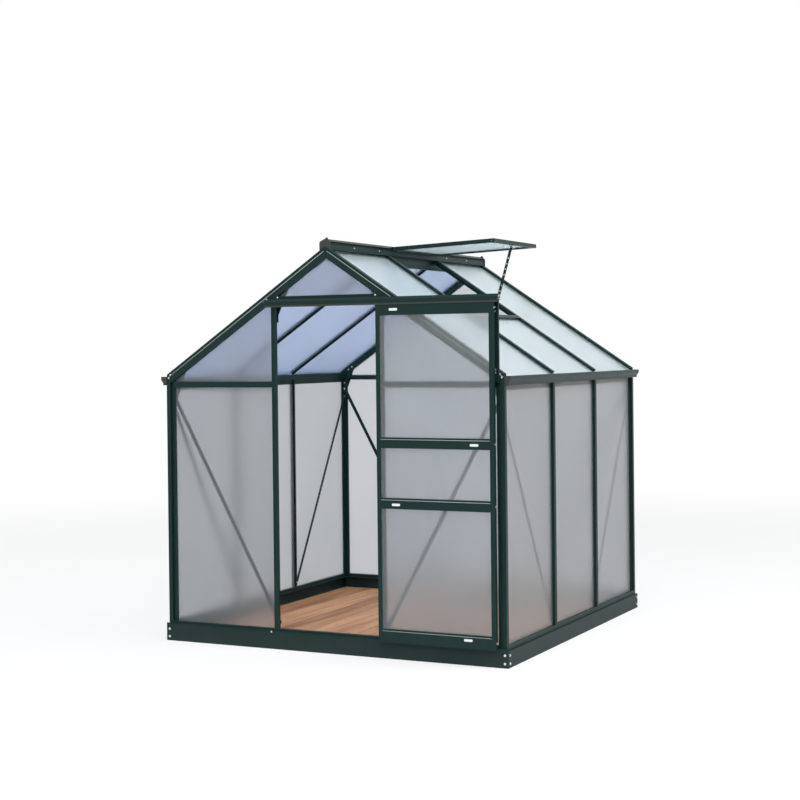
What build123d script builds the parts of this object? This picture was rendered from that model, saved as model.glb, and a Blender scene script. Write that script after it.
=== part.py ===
"""Polycarbonate greenhouse with a span roof, a sliding door and an open roof vent.

Millimetres. The origin is on the ground at the middle of the footprint, +Z is up, the door is in the
front gable at -Y and the roof vent is in the slope that faces +X. The door stands open, slid to +X.
"""

import os
from math import atan2, cos, degrees, hypot, radians, sin, tan

from build123d import *

os.makedirs("parts", exist_ok=True)

# Overall sizes
width = 1900.0
depth = 1920.0
eave_height = 1380.0
roof_pitch = 33.7
gable_post_x = 302.0
side_bar_y = 312.0

# Aluminium sections
wall = 2.0
web = 3.0
bar_face = 24.0
gable_bar_face = 26.0
bar_nose = 15.0
bar_groove = 4.0
groove_depth = 1.0
flange_face = 18.0
bar_depth = 28.0
foot_face = 12.0
corner_nose = 22.0
corner_leg = 47.0
rafter_face = 48.0
rafter_cap = 26.0
rafter_groove = 16.0
rafter_foot = 20.0
eave_rail_face = 30.0
eave_rail_drop = 50.0
lintel_face = 35.0
lintel_drop = 58.0

# Panels and how they sit in their slots
panel = 4.0
panel_play = 0.3
edge_play = 2.0
joint_play = 0.3

# Steel base and timber deck
base_height = 80.0
base_projection = 10.0
base_flange = 30.0
deck_thickness = 18.0

# Sills, with the guide groove of the door along the front one
sill_lip = 22.0
sill_floor = 30.0
groove_lip = 12.0

# Eave beams and gutters
eave_beam_drop = 54.0
eave_beam_depth = 30.0
eave_outer_lip = 3.0
eave_inner_lip = 25.0
gutter_floor = 20.0
gutter_mouth = 33.0
gutter_side = 10.0
gutter_step_height = 28.0
gutter_height = 44.0
cap_thickness = 2.0
panel_drip = 5.0
bar_setback = 2.0

# Ridge
ridge_web_drop = 72.0
ridge_foot = 24.0
ridge_wing = 29.0
crest_pitch = 40.0
crest_height = 35.5
crest_reach = 20.0
hinge_offset = 24.0
hinge_rise = 28.0
hinge_tube_radius = 7.0
hinge_bore_radius = 4.8
hinge_mouth = 60.0
ridge_cap_tip = 8.0
ridge_cap_lean = 13.0

# Roof vent, hinged on the ridge and propped open
vent_length = 599.0
vent_side_play = 17.0
vent_tilt = 2.3
vent_rail = 22.0
vent_thickness = 20.0
vent_lift = 10.0
vent_panel_bite = 8.0
vent_neck = 2.0
hinge_pin_radius = 4.0
vent_sill_x = 510.0
vent_sill_face = 25.0
stay_width = 15.0
stay_thickness = 2.0
stay_hole_radius = 3.2
stay_hole_pitch = 30.0
stay_pin_radius = 3.0
stay_ear = 2.0
stay_ear_width = 26.0
stay_ear_drop = 10.0
stay_peg_height = 5.0
stay_setback = 9.0
stay_head_inset = 28.0
stay_end = 9.0

# Door and its running gear
door_overlap = 6.0
door_end_play = 38.0
door_bottom = 85.0
door_top_play = 6.0
door_gap = 21.0
door_depth = 22.0
stile_face = 22.0
door_top_rail = 54.0
door_bottom_rail = 66.0
door_mid_rail = 52.0
door_mid_groove = 10.0
door_mid_heights = (758.0, 1050.0)
track_overhang = 27.0
track_end_play = 12.0
track_drop = 29.5
track_height = 30.0
track_back = 14.0
track_front = 48.0
track_bevel_height = 11.0
track_bevel_reach = 8.0
track_slot = 9.0
wheel_radius = 8.0
wheel_width = 7.0
wheel_play = 0.3
axle_radius = 3.0
hanger_width = 30.0
hanger_thickness = 3.0
hanger_foot = 16.0
hanger_inset = 60.0
stop_length = 12.0
shoe_length = 30.0
shoe_finger = 3.0
shoe_inset = 40.0
shoe_play = 1.5
shoe_height = 24.0
strut_width = 30.0
strut_setback = 42.0
strut_flange = 10.0

# Gusset plates and flat braces
plate = 2.0
haunch_reach = 73.0
haunch_drop = 136.0
haunch_leg = 35.0
eave_plate_leg = 90.0
eave_plate_width = 40.0
eave_plate_reach = 100.0
eave_haunch_reach = 70.0
eave_haunch_drop = 20.0
apex_plate_reach = 70.0
brace_width = 20.0
brace_drop = 65.0
brace_foot = 130.0
side_brace_drop = 50.0

# Values worked out from the sizes above
half_width = width / 2
half_depth = depth / 2
pitch = radians(roof_pitch)
slope_length = half_width / cos(pitch)
ridge_height = eave_height + half_width * tan(pitch)
eave_beam_bottom = eave_height - eave_beam_drop
eave_rail_height = eave_height - eave_rail_drop
slot = panel + 2 * panel_play
flange_start = bar_nose + slot
flange_end = flange_start + wall
panel_face = bar_nose + panel_play
rafter_bite = flange_end + edge_play
groove_width = base_projection - wall
sill_bottom = base_height
post_bottom = base_height + sill_lip
panel_bottom = base_height + wall
panel_corner_inset = corner_nose + edge_play
door_front = door_gap + door_depth
door_middle = door_gap + door_depth / 2
gable_bays = (-gable_post_x, gable_post_x)
side_bays = (-side_bar_y, side_bar_y)


def roof_z(x, inset=0.0):
    """Height at x of the roof plane, or of a plane inset below it, measured square to the slope."""
    return eave_height + (half_width - abs(x)) * tan(pitch) - inset / cos(pitch)


def wall_plane(side):
    """A wall's own frame: x along the wall, y up, z outwards, at the outer face of the posts."""
    frames = {
        "front": ((0, -half_depth, 0), (1, 0, 0), (0, -1, 0)),
        "back": ((0, half_depth, 0), (-1, 0, 0), (0, 1, 0)),
        "left": ((-half_width, 0, 0), (0, -1, 0), (-1, 0, 0)),
        "right": ((half_width, 0, 0), (0, 1, 0), (1, 0, 0)),
    }
    origin, along, outward = frames[side]
    return Plane(origin=origin, x_dir=along, z_dir=outward)


def half_wall(side):
    """Half the length of a wall."""
    return half_width if side in ("front", "back") else half_depth


def post_plane(side, along, height, outwards=0.0):
    """Plane for the section of an upright: x along the wall, y inwards."""
    frame = wall_plane(side)
    origin = frame.from_local_coords((along, height, outwards))
    return Plane(origin=origin, x_dir=frame.x_dir, z_dir=(0, 0, 1))


def rail_plane(side, along, height=0.0, outwards=0.0):
    """Plane for the section of a level rail: x inwards, y up."""
    frame = wall_plane(side)
    origin = frame.from_local_coords((along, height, outwards))
    return Plane(origin=origin, x_dir=frame.z_dir * -1, z_dir=frame.x_dir)


def slope_plane(y, distance=0.0):
    """Plane for the section of a member that runs up the right slope: x to the back, y inwards."""
    origin = (half_width - distance * cos(pitch), y, eave_height + distance * sin(pitch))
    return Plane(origin=origin, x_dir=(0, 1, 0), z_dir=(-cos(pitch), 0, sin(pitch)))


def face_plane(side, inwards):
    """Plane parallel to a wall, a given distance inwards from the outer face of its posts."""
    return wall_plane(side).offset(-inwards)


def glazing_bar(face):
    """Section of a glazing bar: grooved hollow nose, a slot each side of the web, inner flange and foot."""
    with BuildSketch() as section:
        Rectangle(face, bar_nose, align=(Align.CENTER, Align.MIN))
        with Locations((0, wall)):
            Rectangle(face - 2 * wall, bar_nose - 2 * wall,
                      align=(Align.CENTER, Align.MIN), mode=Mode.SUBTRACT)
        Rectangle(bar_groove, groove_depth, align=(Align.CENTER, Align.MIN), mode=Mode.SUBTRACT)
        with Locations((0, flange_start)):
            Rectangle(flange_face, wall, align=(Align.CENTER, Align.MIN))
        with Locations((0, bar_nose)):
            Rectangle(web, bar_depth - bar_nose, align=(Align.CENTER, Align.MIN))
        with Locations((0, bar_depth)):
            Rectangle(foot_face, wall, align=(Align.CENTER, Align.MAX))
    return section.sketch


def level_bar(face):
    """The glazing bar's section turned for a level rail: x inwards, y up."""
    upright = glazing_bar(face)
    with BuildSketch() as section:
        add(upright, rotation=-90)
    return section.sketch


def base_section():
    """Folded steel channel, open to the inside."""
    with BuildSketch() as section:
        with Locations((-base_projection, 0)):
            Rectangle(base_flange, base_height, align=(Align.MIN, Align.MIN))
        with Locations((-base_projection + wall, wall)):
            Rectangle(base_flange, base_height - 2 * wall, align=(Align.MIN, Align.MIN), mode=Mode.SUBTRACT)
    return section.sketch


def sill_section(guided):
    """Hollow sill with a slot for the wall panels, and on the front one a groove for the door's guides."""
    with BuildSketch() as section:
        with Locations((0, sill_bottom)):
            Rectangle(bar_nose, sill_lip, align=(Align.MIN, Align.MIN))
        with Locations((wall, sill_bottom + wall)):
            Rectangle(bar_nose - 2 * wall, sill_lip - 2 * wall,
                      align=(Align.MIN, Align.MIN), mode=Mode.SUBTRACT)
        with Locations((0, sill_bottom + sill_lip / 2)):
            Rectangle(groove_depth, bar_groove, align=(Align.MIN, Align.CENTER), mode=Mode.SUBTRACT)
        with Locations((0, sill_bottom)):
            Rectangle(sill_floor, wall, align=(Align.MIN, Align.MIN))
        with Locations((flange_start, sill_bottom)):
            Rectangle(wall, sill_lip, align=(Align.MIN, Align.MIN))
        if guided:
            with Locations((-groove_width - wall, sill_bottom)):
                Rectangle(groove_width + wall, wall, align=(Align.MIN, Align.MIN))
                Rectangle(wall, groove_lip, align=(Align.MIN, Align.MIN))
    return section.sketch


def mitred_rail(side, section):
    """A rail along a whole wall, cut at 45 degrees at both ends to meet its neighbours."""
    reach = half_wall(side) + base_projection
    with BuildPart() as rail:
        with BuildSketch(rail_plane(side, 0)):
            add(section)
        extrude(amount=reach, both=True)
        frame = wall_plane(side)
        for end in (-1, 1):
            corner = frame.from_local_coords((end * half_wall(side), 0, 0))
            normal = frame.x_dir * end - frame.z_dir
            split(bisect_by=Plane(origin=corner, z_dir=normal), keep=Keep.BOTTOM)
    return rail.part


def gable_outline(inset, low, reach):
    """Points of the gable's shape from a level line up to a line inset below the roof plane."""
    return [(-reach, low), (reach, low), (reach, roof_z(reach, inset)), (0, roof_z(0, inset)),
            (-reach, roof_z(-reach, inset))]


def above_rafters(side, near, far):
    """Everything above the rafters' lower edge between two depths of a gable, to cut posts and rails by."""
    reach = half_width + base_projection
    top = ridge_height + rafter_face
    with BuildPart() as cutter:
        with BuildSketch(face_plane(side, near)):
            with BuildLine():
                Polyline((-reach, roof_z(reach, rafter_face)), (0, roof_z(0, rafter_face)),
                         (reach, roof_z(reach, rafter_face)), (reach, top), (-reach, top), close=True)
            make_face()
        extrude(amount=near - far)
    return cutter.part


def flat_sheet(side, outline, near, thickness):
    """A flat sheet with the given outline, parallel to a wall, from a depth inwards."""
    with BuildPart() as sheet:
        with BuildSketch(face_plane(side, near)):
            with BuildLine():
                Polyline(*outline, close=True)
            make_face()
        extrude(amount=-thickness)
    return sheet.part


def box_outline(low, high):
    """Corner points of an upright rectangle."""
    return [low, (high[0], low[1]), high, (low[0], high[1])]


# Heights and places that follow the roof and the eaves
lintel_height = roof_z(gable_post_x) - lintel_drop
track_bottom = lintel_height - track_drop
track_start = -gable_post_x - track_overhang
track_end = half_width - track_end_play
strut_left = track_end - strut_setback
strut_foot = roof_z(strut_left + strut_width, rafter_face)
door_top = track_bottom - door_top_play
door_width = 2 * (gable_post_x + door_overlap)
door_travel = half_width - door_end_play - door_width / 2
vent_width = 2 * (side_bar_y - vent_side_play)

# Timber deck, laid on the ground inside the base
deck_inset = base_flange - base_projection + joint_play
with BuildPart() as floor_deck:
    with BuildSketch():
        Rectangle(width - 2 * deck_inset, depth - 2 * deck_inset)
    extrude(amount=deck_thickness)
floor_deck.part.label = "floor_deck"
export_step(floor_deck.part, "parts/floor_deck.step")

# Base rails and sills, mitred at the four corners
channel = base_section()
plain_sill = sill_section(False)
guide_sill = sill_section(True)
for side in ("front", "back", "left", "right"):
    with BuildPart() as base_rail:
        add(mitred_rail(side, channel))
    base_rail.part.label = f"{side}_base_rail"
    export_step(base_rail.part, f"parts/{side}_base_rail.step")

    with BuildPart() as sill:
        add(mitred_rail(side, guide_sill if side == "front" else plain_sill))
    sill.part.label = f"{side}_sill"
    export_step(sill.part, f"parts/{side}_sill.step")

# Corner posts: a square nose, a leg set back along each wall, panel slots behind and a tube inside
front_cutter = above_rafters("front", -joint_play, flange_end + joint_play)
leg_start = bar_nose - wall
tube_hole = bar_depth - corner_nose - wall
with BuildPart() as front_left_post:
    with BuildSketch(Plane.XY.offset(post_bottom)):
        with Locations((-half_width, -half_depth)):
            Rectangle(corner_nose, corner_nose, align=(Align.MIN, Align.MIN))
        with Locations((-half_width + wall, -half_depth + wall)):
            Rectangle(corner_nose - 2 * wall, corner_nose - 2 * wall,
                      align=(Align.MIN, Align.MIN), mode=Mode.SUBTRACT)
        with Locations((-half_width + corner_nose, -half_depth + leg_start)):
            Rectangle(corner_leg - corner_nose, wall, align=(Align.MIN, Align.MIN))
        with Locations((-half_width + leg_start, -half_depth + corner_nose)):
            Rectangle(wall, corner_leg - corner_nose, align=(Align.MIN, Align.MIN))
        with Locations((-half_width + flange_start, -half_depth + flange_start)):
            Rectangle(corner_leg - flange_start, wall, align=(Align.MIN, Align.MIN))
            Rectangle(wall, corner_leg - flange_start, align=(Align.MIN, Align.MIN))
            Rectangle(bar_depth - flange_start, bar_depth - flange_start, align=(Align.MIN, Align.MIN))
        with Locations((-half_width + corner_nose, -half_depth + corner_nose)):
            Rectangle(tube_hole, tube_hole, align=(Align.MIN, Align.MIN), mode=Mode.SUBTRACT)
    extrude(amount=roof_z(half_width - corner_leg, rafter_face) - post_bottom)
    add(front_cutter, mode=Mode.SUBTRACT)
    with BuildSketch(Plane.XY.offset(eave_beam_bottom)):
        with Locations((-half_width - corner_leg, -half_depth + flange_end)):
            Rectangle(3 * corner_leg, 2 * corner_leg, align=(Align.MIN, Align.MIN))
    extrude(amount=eave_height, mode=Mode.SUBTRACT)
front_left_post.part.label = "front_left_post"
export_step(front_left_post.part, "parts/front_left_post.step")

with BuildPart() as front_right_post:
    mirror(front_left_post.part, about=Plane.YZ)
front_right_post.part.label = "front_right_post"
export_step(front_right_post.part, "parts/front_right_post.step")

with BuildPart() as back_left_post:
    mirror(front_left_post.part, about=Plane.XZ)
back_left_post.part.label = "back_left_post"
export_step(back_left_post.part, "parts/back_left_post.step")

with BuildPart() as back_right_post:
    mirror(front_right_post.part, about=Plane.XZ)
back_right_post.part.label = "back_right_post"
export_step(back_right_post.part, "parts/back_right_post.step")

# Gable posts: the door's jambs in front, the same pair at the back
gable_bar = glazing_bar(gable_bar_face)
whole_depth_cutter = above_rafters("front", -joint_play, bar_depth + joint_play)
with BuildPart() as door_jambs:
    for x in gable_bays:
        with BuildSketch(post_plane("front", x, post_bottom)):
            add(gable_bar)
        extrude(amount=roof_z(x) - post_bottom)
    add(whole_depth_cutter, mode=Mode.SUBTRACT)
door_jambs.part.label = "door_jambs"
export_step(door_jambs.part, "parts/door_jambs.step")

with BuildPart() as back_gable_posts:
    mirror(door_jambs.part, about=Plane.XZ)
back_gable_posts.part.label = "back_gable_posts"
export_step(back_gable_posts.part, "parts/back_gable_posts.step")

# Side wall bars, from the sill's lips to the underside of the eave beam
side_bar = glazing_bar(bar_face)
with BuildPart() as right_wall_bars:
    for y in side_bays:
        with BuildSketch(post_plane("right", y, post_bottom)):
            add(side_bar)
        extrude(amount=eave_beam_bottom - post_bottom)
right_wall_bars.part.label = "right_wall_bars"
export_step(right_wall_bars.part, "parts/right_wall_bars.step")

with BuildPart() as left_wall_bars:
    mirror(right_wall_bars.part, about=Plane.YZ)
left_wall_bars.part.label = "left_wall_bars"
export_step(left_wall_bars.part, "parts/left_wall_bars.step")

# Eave beam: a box that the roof bars stand on, panel lips under it and a gutter outside
bar_end = bar_setback / cos(pitch)
eave_seat = eave_height + bar_end * sin(pitch) - bar_depth * cos(pitch)
beam_half = half_depth - flange_end - joint_play
panel_underside = roof_z(half_width, panel_face + panel + joint_play)
post_edge = half_depth - corner_leg
side_gaps = ((-post_edge, -side_bar_y - bar_face / 2),
             (-side_bar_y + bar_face / 2, side_bar_y - bar_face / 2),
             (side_bar_y + bar_face / 2, post_edge))
gutter_outline = [(0, 0), (-gutter_floor, 0), (-gutter_floor, gutter_side),
                  (-gutter_mouth, gutter_step_height), (-gutter_mouth, gutter_height)]
with BuildPart() as right_eave_gutter:
    with BuildSketch(rail_plane("right", 0, eave_beam_bottom)):
        Rectangle(eave_beam_depth, eave_seat - eave_beam_bottom, align=(Align.MIN, Align.MIN))
        with Locations((wall, wall)):
            Rectangle(eave_beam_depth - 2 * wall, eave_seat - eave_beam_bottom - 2 * wall,
                      align=(Align.MIN, Align.MIN), mode=Mode.SUBTRACT)
    extrude(amount=beam_half, both=True)
    split(bisect_by=Plane(origin=(half_width, 0, panel_underside), z_dir=(sin(pitch), 0, cos(pitch))),
          keep=Keep.BOTTOM)
    with BuildSketch(rail_plane("right", 0, eave_beam_bottom)):
        with BuildLine():
            Polyline(*gutter_outline, (wall - gutter_mouth, gutter_height),
                     (wall - gutter_mouth, gutter_step_height + wall / 2),
                     (wall - gutter_floor, gutter_side + wall / 2), (wall - gutter_floor, wall),
                     (0, wall), close=True)
        make_face()
    extrude(amount=half_depth, both=True)
    for start, end in side_gaps:
        with BuildSketch(rail_plane("right", start, eave_beam_bottom)):
            with Locations((leg_start, 0)):
                Rectangle(wall, eave_outer_lip, align=(Align.MIN, Align.MAX))
            with Locations((flange_start, 0)):
                Rectangle(wall, eave_inner_lip, align=(Align.MIN, Align.MAX))
        extrude(amount=end - start)
right_eave_gutter.part.label = "right_eave_gutter"
export_step(right_eave_gutter.part, "parts/right_eave_gutter.step")

with BuildPart() as left_eave_gutter:
    mirror(right_eave_gutter.part, about=Plane.YZ)
left_eave_gutter.part.label = "left_eave_gutter"
export_step(left_eave_gutter.part, "parts/left_eave_gutter.step")

# Level rails of the gables at the eaves, and the lintel of the doorway
eave_bar = level_bar(eave_rail_face)
rail_start = gable_post_x + gable_bar_face / 2
rail_stop = half_width - corner_leg
with BuildPart() as front_eave_rails:
    for start, end in ((-rail_stop, -rail_start), (rail_start, rail_stop)):
        with BuildSketch(rail_plane("front", start, eave_rail_height)):
            add(eave_bar)
        extrude(amount=end - start)
    add(whole_depth_cutter, mode=Mode.SUBTRACT)
front_eave_rails.part.label = "front_eave_rails"
export_step(front_eave_rails.part, "parts/front_eave_rails.step")

inner_rail = gable_post_x - gable_bar_face / 2
with BuildPart() as back_eave_rails:
    mirror(front_eave_rails.part, about=Plane.XZ)
    with BuildSketch(rail_plane("back", -inner_rail, eave_rail_height)):
        add(eave_bar)
    extrude(amount=2 * inner_rail)
back_eave_rails.part.label = "back_eave_rails"
export_step(back_eave_rails.part, "parts/back_eave_rails.step")

with BuildPart() as door_lintel:
    with BuildSketch(rail_plane("front", -inner_rail, lintel_height)):
        add(level_bar(lintel_face))
    extrude(amount=2 * inner_rail)
    add(whole_depth_cutter, mode=Mode.SUBTRACT)
door_lintel.part.label = "door_lintel"
export_step(door_lintel.part, "parts/door_lintel.step")

# Gable rafters: a hollow face and cap, with a slot each for the gable panels and the roof panels
rafter_inner_end = half_width - eave_beam_depth - joint_play
rafter_web = (flange_end + rafter_face) / 2
with BuildPart() as front_right_rafter:
    with BuildSketch(slope_plane(-half_depth, -corner_leg)):
        Rectangle(bar_nose, rafter_face, align=(Align.MIN, Align.MIN))
        Rectangle(rafter_cap, bar_nose, align=(Align.MIN, Align.MIN))
        with Locations((wall, wall)):
            Rectangle(bar_nose - 2 * wall, rafter_face - 2 * wall,
                      align=(Align.MIN, Align.MIN), mode=Mode.SUBTRACT)
            Rectangle(rafter_cap - 2 * wall, bar_nose - 2 * wall,
                      align=(Align.MIN, Align.MIN), mode=Mode.SUBTRACT)
        with Locations((0, rafter_groove)):
            Rectangle(groove_depth, bar_groove, align=(Align.MIN, Align.CENTER), mode=Mode.SUBTRACT)
        with Locations((bar_nose, flange_start)):
            Rectangle(rafter_cap - bar_nose, wall, align=(Align.MIN, Align.MIN))
        with Locations((flange_start, flange_start)):
            Rectangle(wall, rafter_face - flange_start, align=(Align.MIN, Align.MIN))
    extrude(amount=slope_length + 2 * corner_leg)
    with BuildSketch(slope_plane(-half_depth, (half_width - rafter_inner_end) / cos(pitch))):
        with Locations((flange_start, rafter_web)):
            Rectangle(bar_depth - flange_start, wall, align=(Align.MIN, Align.CENTER))
        with Locations((bar_depth, rafter_web)):
            Rectangle(wall, rafter_foot, align=(Align.MAX, Align.CENTER))
    extrude(amount=slope_length)
    split(bisect_by=Plane.YZ, keep=Keep.TOP)
    split(bisect_by=Plane.YZ.offset(half_width - wall), keep=Keep.BOTTOM)
    with BuildSketch(Plane.XZ.offset(half_depth - flange_end - joint_play)):
        with Locations((rafter_inner_end, eave_beam_bottom)):
            Rectangle(eave_beam_depth + 2 * corner_leg, eave_seat + joint_play - eave_beam_bottom,
                      align=(Align.MIN, Align.MIN))
    extrude(amount=-bar_depth, mode=Mode.SUBTRACT)
front_right_rafter.part.label = "front_right_rafter"
export_step(front_right_rafter.part, "parts/front_right_rafter.step")

with BuildPart() as front_left_rafter:
    mirror(front_right_rafter.part, about=Plane.YZ)
front_left_rafter.part.label = "front_left_rafter"
export_step(front_left_rafter.part, "parts/front_left_rafter.step")

with BuildPart() as back_right_rafter:
    mirror(front_right_rafter.part, about=Plane.XZ)
back_right_rafter.part.label = "back_right_rafter"
export_step(back_right_rafter.part, "parts/back_right_rafter.step")

with BuildPart() as back_left_rafter:
    mirror(front_left_rafter.part, about=Plane.XZ)
back_left_rafter.part.label = "back_left_rafter"
export_step(back_left_rafter.part, "parts/back_left_rafter.step")

# Roof bars, from the eave beam's seat to the ridge web
web_face = web / 2 + joint_play
with BuildPart() as right_roof_bars:
    for y in side_bays:
        with BuildSketch(slope_plane(y, bar_end)):
            add(side_bar)
        extrude(amount=slope_length)
    split(bisect_by=Plane.YZ.offset(web_face), keep=Keep.TOP)
right_roof_bars.part.label = "right_roof_bars"
export_step(right_roof_bars.part, "parts/right_roof_bars.step")

with BuildPart() as left_roof_bars:
    mirror(right_roof_bars.part, about=Plane.YZ)
left_roof_bars.part.label = "left_roof_bars"
export_step(left_roof_bars.part, "parts/left_roof_bars.step")

# Ridge: web and foot between the gables, wings over the bars, a crest and a hinge tube each side
hinge_x = hinge_offset
hinge_z = roof_z(hinge_x) + hinge_rise / cos(pitch)
crest_z = ridge_height + crest_height
side_foot = roof_z(hinge_x, -wall / 2)
ridge_web_half = half_depth - bar_depth - plate - joint_play


def folded_strip(top, fall, reach):
    """Outline of a sheet folded along the ridge, from its top height and its fall and reach to each side."""
    under = wall / cos(fall)
    drop = reach * tan(fall)
    return [(-reach, top - drop), (0, top), (reach, top - drop), (reach, top - drop - under),
            (0, top - under), (-reach, top - drop - under)]


with BuildPart() as ridge:
    with BuildSketch(Plane.XZ):
        with Locations((0, ridge_height - ridge_web_drop)):
            Rectangle(web, ridge_web_drop, align=(Align.CENTER, Align.MIN))
            Rectangle(ridge_foot, wall, align=(Align.CENTER, Align.MIN))
    extrude(amount=ridge_web_half, both=True)
    with BuildSketch(Plane.XZ):
        with BuildLine():
            Polyline(*folded_strip(ridge_height + wall / cos(pitch), pitch, ridge_wing), close=True)
        make_face()
        with BuildLine():
            Polyline(*folded_strip(crest_z, radians(crest_pitch), crest_reach), close=True)
        make_face()
        with Locations((0, ridge_height)):
            Rectangle(web, crest_height - 2 * wall, align=(Align.CENTER, Align.MIN))
        with Locations((-hinge_x, side_foot), (hinge_x, side_foot)):
            Rectangle(wall, hinge_z - hinge_bore_radius - side_foot, align=(Align.CENTER, Align.MIN))
        with Locations((-hinge_x, hinge_z), (hinge_x, hinge_z)):
            Circle(hinge_tube_radius)
        with Locations((-hinge_x, hinge_z), (hinge_x, hinge_z)):
            Circle(hinge_bore_radius, mode=Mode.SUBTRACT)
        for hand in (-1, 1):
            mouth = tan(radians(hinge_mouth / 2)) * 2 * hinge_tube_radius
            with BuildLine():
                Polyline((hand * hinge_x, hinge_z),
                         (hand * (hinge_x + 2 * hinge_tube_radius), hinge_z - mouth),
                         (hand * (hinge_x + 2 * hinge_tube_radius), hinge_z + mouth), close=True)
            make_face(mode=Mode.SUBTRACT)
    extrude(amount=half_depth, both=True)
ridge.part.label = "ridge"
export_step(ridge.part, "parts/ridge.step")

# End caps of the gutters and of the ridge
ridge_cap_half = hinge_offset + hinge_tube_radius
with BuildPart() as end_caps:
    for side, hand in (("right", 1), ("right", -1), ("left", 1), ("left", -1)):
        with BuildSketch(rail_plane(side, hand * half_depth, eave_beam_bottom)):
            with BuildLine():
                Polyline(*gutter_outline, (0, gutter_height), close=True)
            make_face()
        extrude(amount=hand * cap_thickness)
    for hand in (-1, 1):
        with BuildSketch(Plane.XZ.offset(hand * half_depth)):
            with BuildLine():
                Polyline((-ridge_cap_half, roof_z(ridge_cap_half)), (-ridge_cap_half, hinge_z),
                         (-hinge_x, hinge_z + hinge_tube_radius), (0, crest_z),
                         (ridge_cap_lean, crest_z + ridge_cap_tip), (hinge_x, hinge_z + hinge_tube_radius),
                         (ridge_cap_half, hinge_z), (ridge_cap_half, roof_z(ridge_cap_half)),
                         (0, ridge_height), close=True)
            make_face()
        extrude(amount=hand * cap_thickness)
end_caps.part.label = "end_caps"
export_step(end_caps.part, "parts/end_caps.step")

# Gusset plates, on the feet of the gable members inside both gables
jamb_edge = gable_post_x + gable_bar_face / 2
jamb_inner = gable_post_x - gable_bar_face / 2
haunch_x = gable_post_x - haunch_reach
haunch_foot = roof_z(gable_post_x) - haunch_drop
jamb_plate_foot = haunch_foot - haunch_leg
eave_plate_foot = eave_beam_bottom - eave_plate_leg
eave_plate_end = half_width - eave_plate_reach
eave_haunch = half_width - eave_haunch_reach
eave_haunch_height = eave_beam_bottom - eave_haunch_drop
eave_plate_edge = half_width - eave_plate_width
gusset_margin = rafter_bite
post_tube = half_width - flange_end
beam_inner = half_width - eave_beam_depth - joint_play
with BuildPart() as gusset_plates:
    for side in ("front", "back"):
        for hand in (-1, 1):
            add(flat_sheet(side, [
                (hand * jamb_edge, jamb_plate_foot), (hand * jamb_inner, jamb_plate_foot),
                (hand * jamb_inner, haunch_foot), (hand * haunch_x, roof_z(haunch_x, rafter_face)),
                (hand * haunch_x, roof_z(haunch_x, gusset_margin)),
                (hand * jamb_edge, roof_z(jamb_edge, gusset_margin))], bar_depth, plate))
            add(flat_sheet(side, [
                (hand * post_tube, eave_plate_foot), (hand * eave_plate_edge, eave_plate_foot),
                (hand * eave_haunch, eave_haunch_height),
                (hand * eave_plate_end, roof_z(eave_plate_end, rafter_face)),
                (hand * eave_plate_end, roof_z(eave_plate_end, gusset_margin)),
                (hand * beam_inner, roof_z(beam_inner, gusset_margin)),
                (hand * beam_inner, eave_beam_bottom - joint_play),
                (hand * post_tube, eave_beam_bottom - joint_play)], bar_depth, plate))
        add(flat_sheet(side, [
            (-apex_plate_reach, roof_z(apex_plate_reach, rafter_face)), (0, roof_z(0, rafter_face)),
            (apex_plate_reach, roof_z(apex_plate_reach, rafter_face)),
            (apex_plate_reach, roof_z(apex_plate_reach, gusset_margin)), (0, roof_z(0, gusset_margin)),
            (-apex_plate_reach, roof_z(apex_plate_reach, gusset_margin))], bar_depth, plate))
gusset_plates.part.label = "gusset_plates"
export_step(gusset_plates.part, "parts/gusset_plates.step")

# Flat braces, from the head of each corner post to the foot of the next upright
brace_top = eave_beam_bottom - brace_drop
brace_inset = flange_end + brace_width / 2
with BuildPart() as wall_braces:
    for side in ("front", "back", "left", "right"):
        gable = side in ("front", "back")
        near = bar_depth + plate if gable else bar_depth
        foot_x = gable_post_x if gable else side_bar_y
        head_x = half_wall(side) - brace_inset
        head_z = brace_top if gable else brace_top - side_brace_drop
        run = head_x - foot_x
        rise = head_z - brace_foot
        for hand in (-1, 1):
            with BuildSketch(face_plane(side, near)):
                with Locations((hand * (head_x + foot_x) / 2, (head_z + brace_foot) / 2)):
                    SlotCenterToCenter(hypot(run, rise), brace_width,
                                       rotation=hand * degrees(atan2(rise, run)))
            extrude(amount=-plate)
wall_braces.part.label = "wall_braces"
export_step(wall_braces.part, "parts/wall_braces.step")

# Wall panels: thin sheets of twin-wall polycarbonate in the slots of the bars
bar_edge = web / 2 + edge_play
post_slot_x = half_width - panel_corner_inset
post_slot_y = half_depth - panel_corner_inset
lower_top = eave_rail_height - bar_edge
upper_bottom = eave_rail_height + bar_edge
side_top = eave_beam_bottom - edge_play
outer_bay = (gable_post_x + bar_edge, post_slot_x)


def upper_corner_outline(hand):
    """Outline of the panel over the eave rail in an outer bay of a gable."""
    near, far = outer_bay
    return [(hand * near, upper_bottom), (hand * far, upper_bottom), (hand * far, roof_z(far, rafter_bite)),
            (hand * near, roof_z(near, rafter_bite))]


with BuildPart() as front_panels:
    for hand in (-1, 1):
        near, far = outer_bay
        add(flat_sheet("front", box_outline((hand * near, panel_bottom), (hand * far, lower_top)),
                       panel_face, panel))
        add(flat_sheet("front", upper_corner_outline(hand), panel_face, panel))
    add(flat_sheet("front", gable_outline(rafter_bite, lintel_height + bar_edge, gable_post_x - bar_edge),
                   panel_face, panel))
front_panels.part.label = "front_panels"
export_step(front_panels.part, "parts/front_panels.step")

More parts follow.
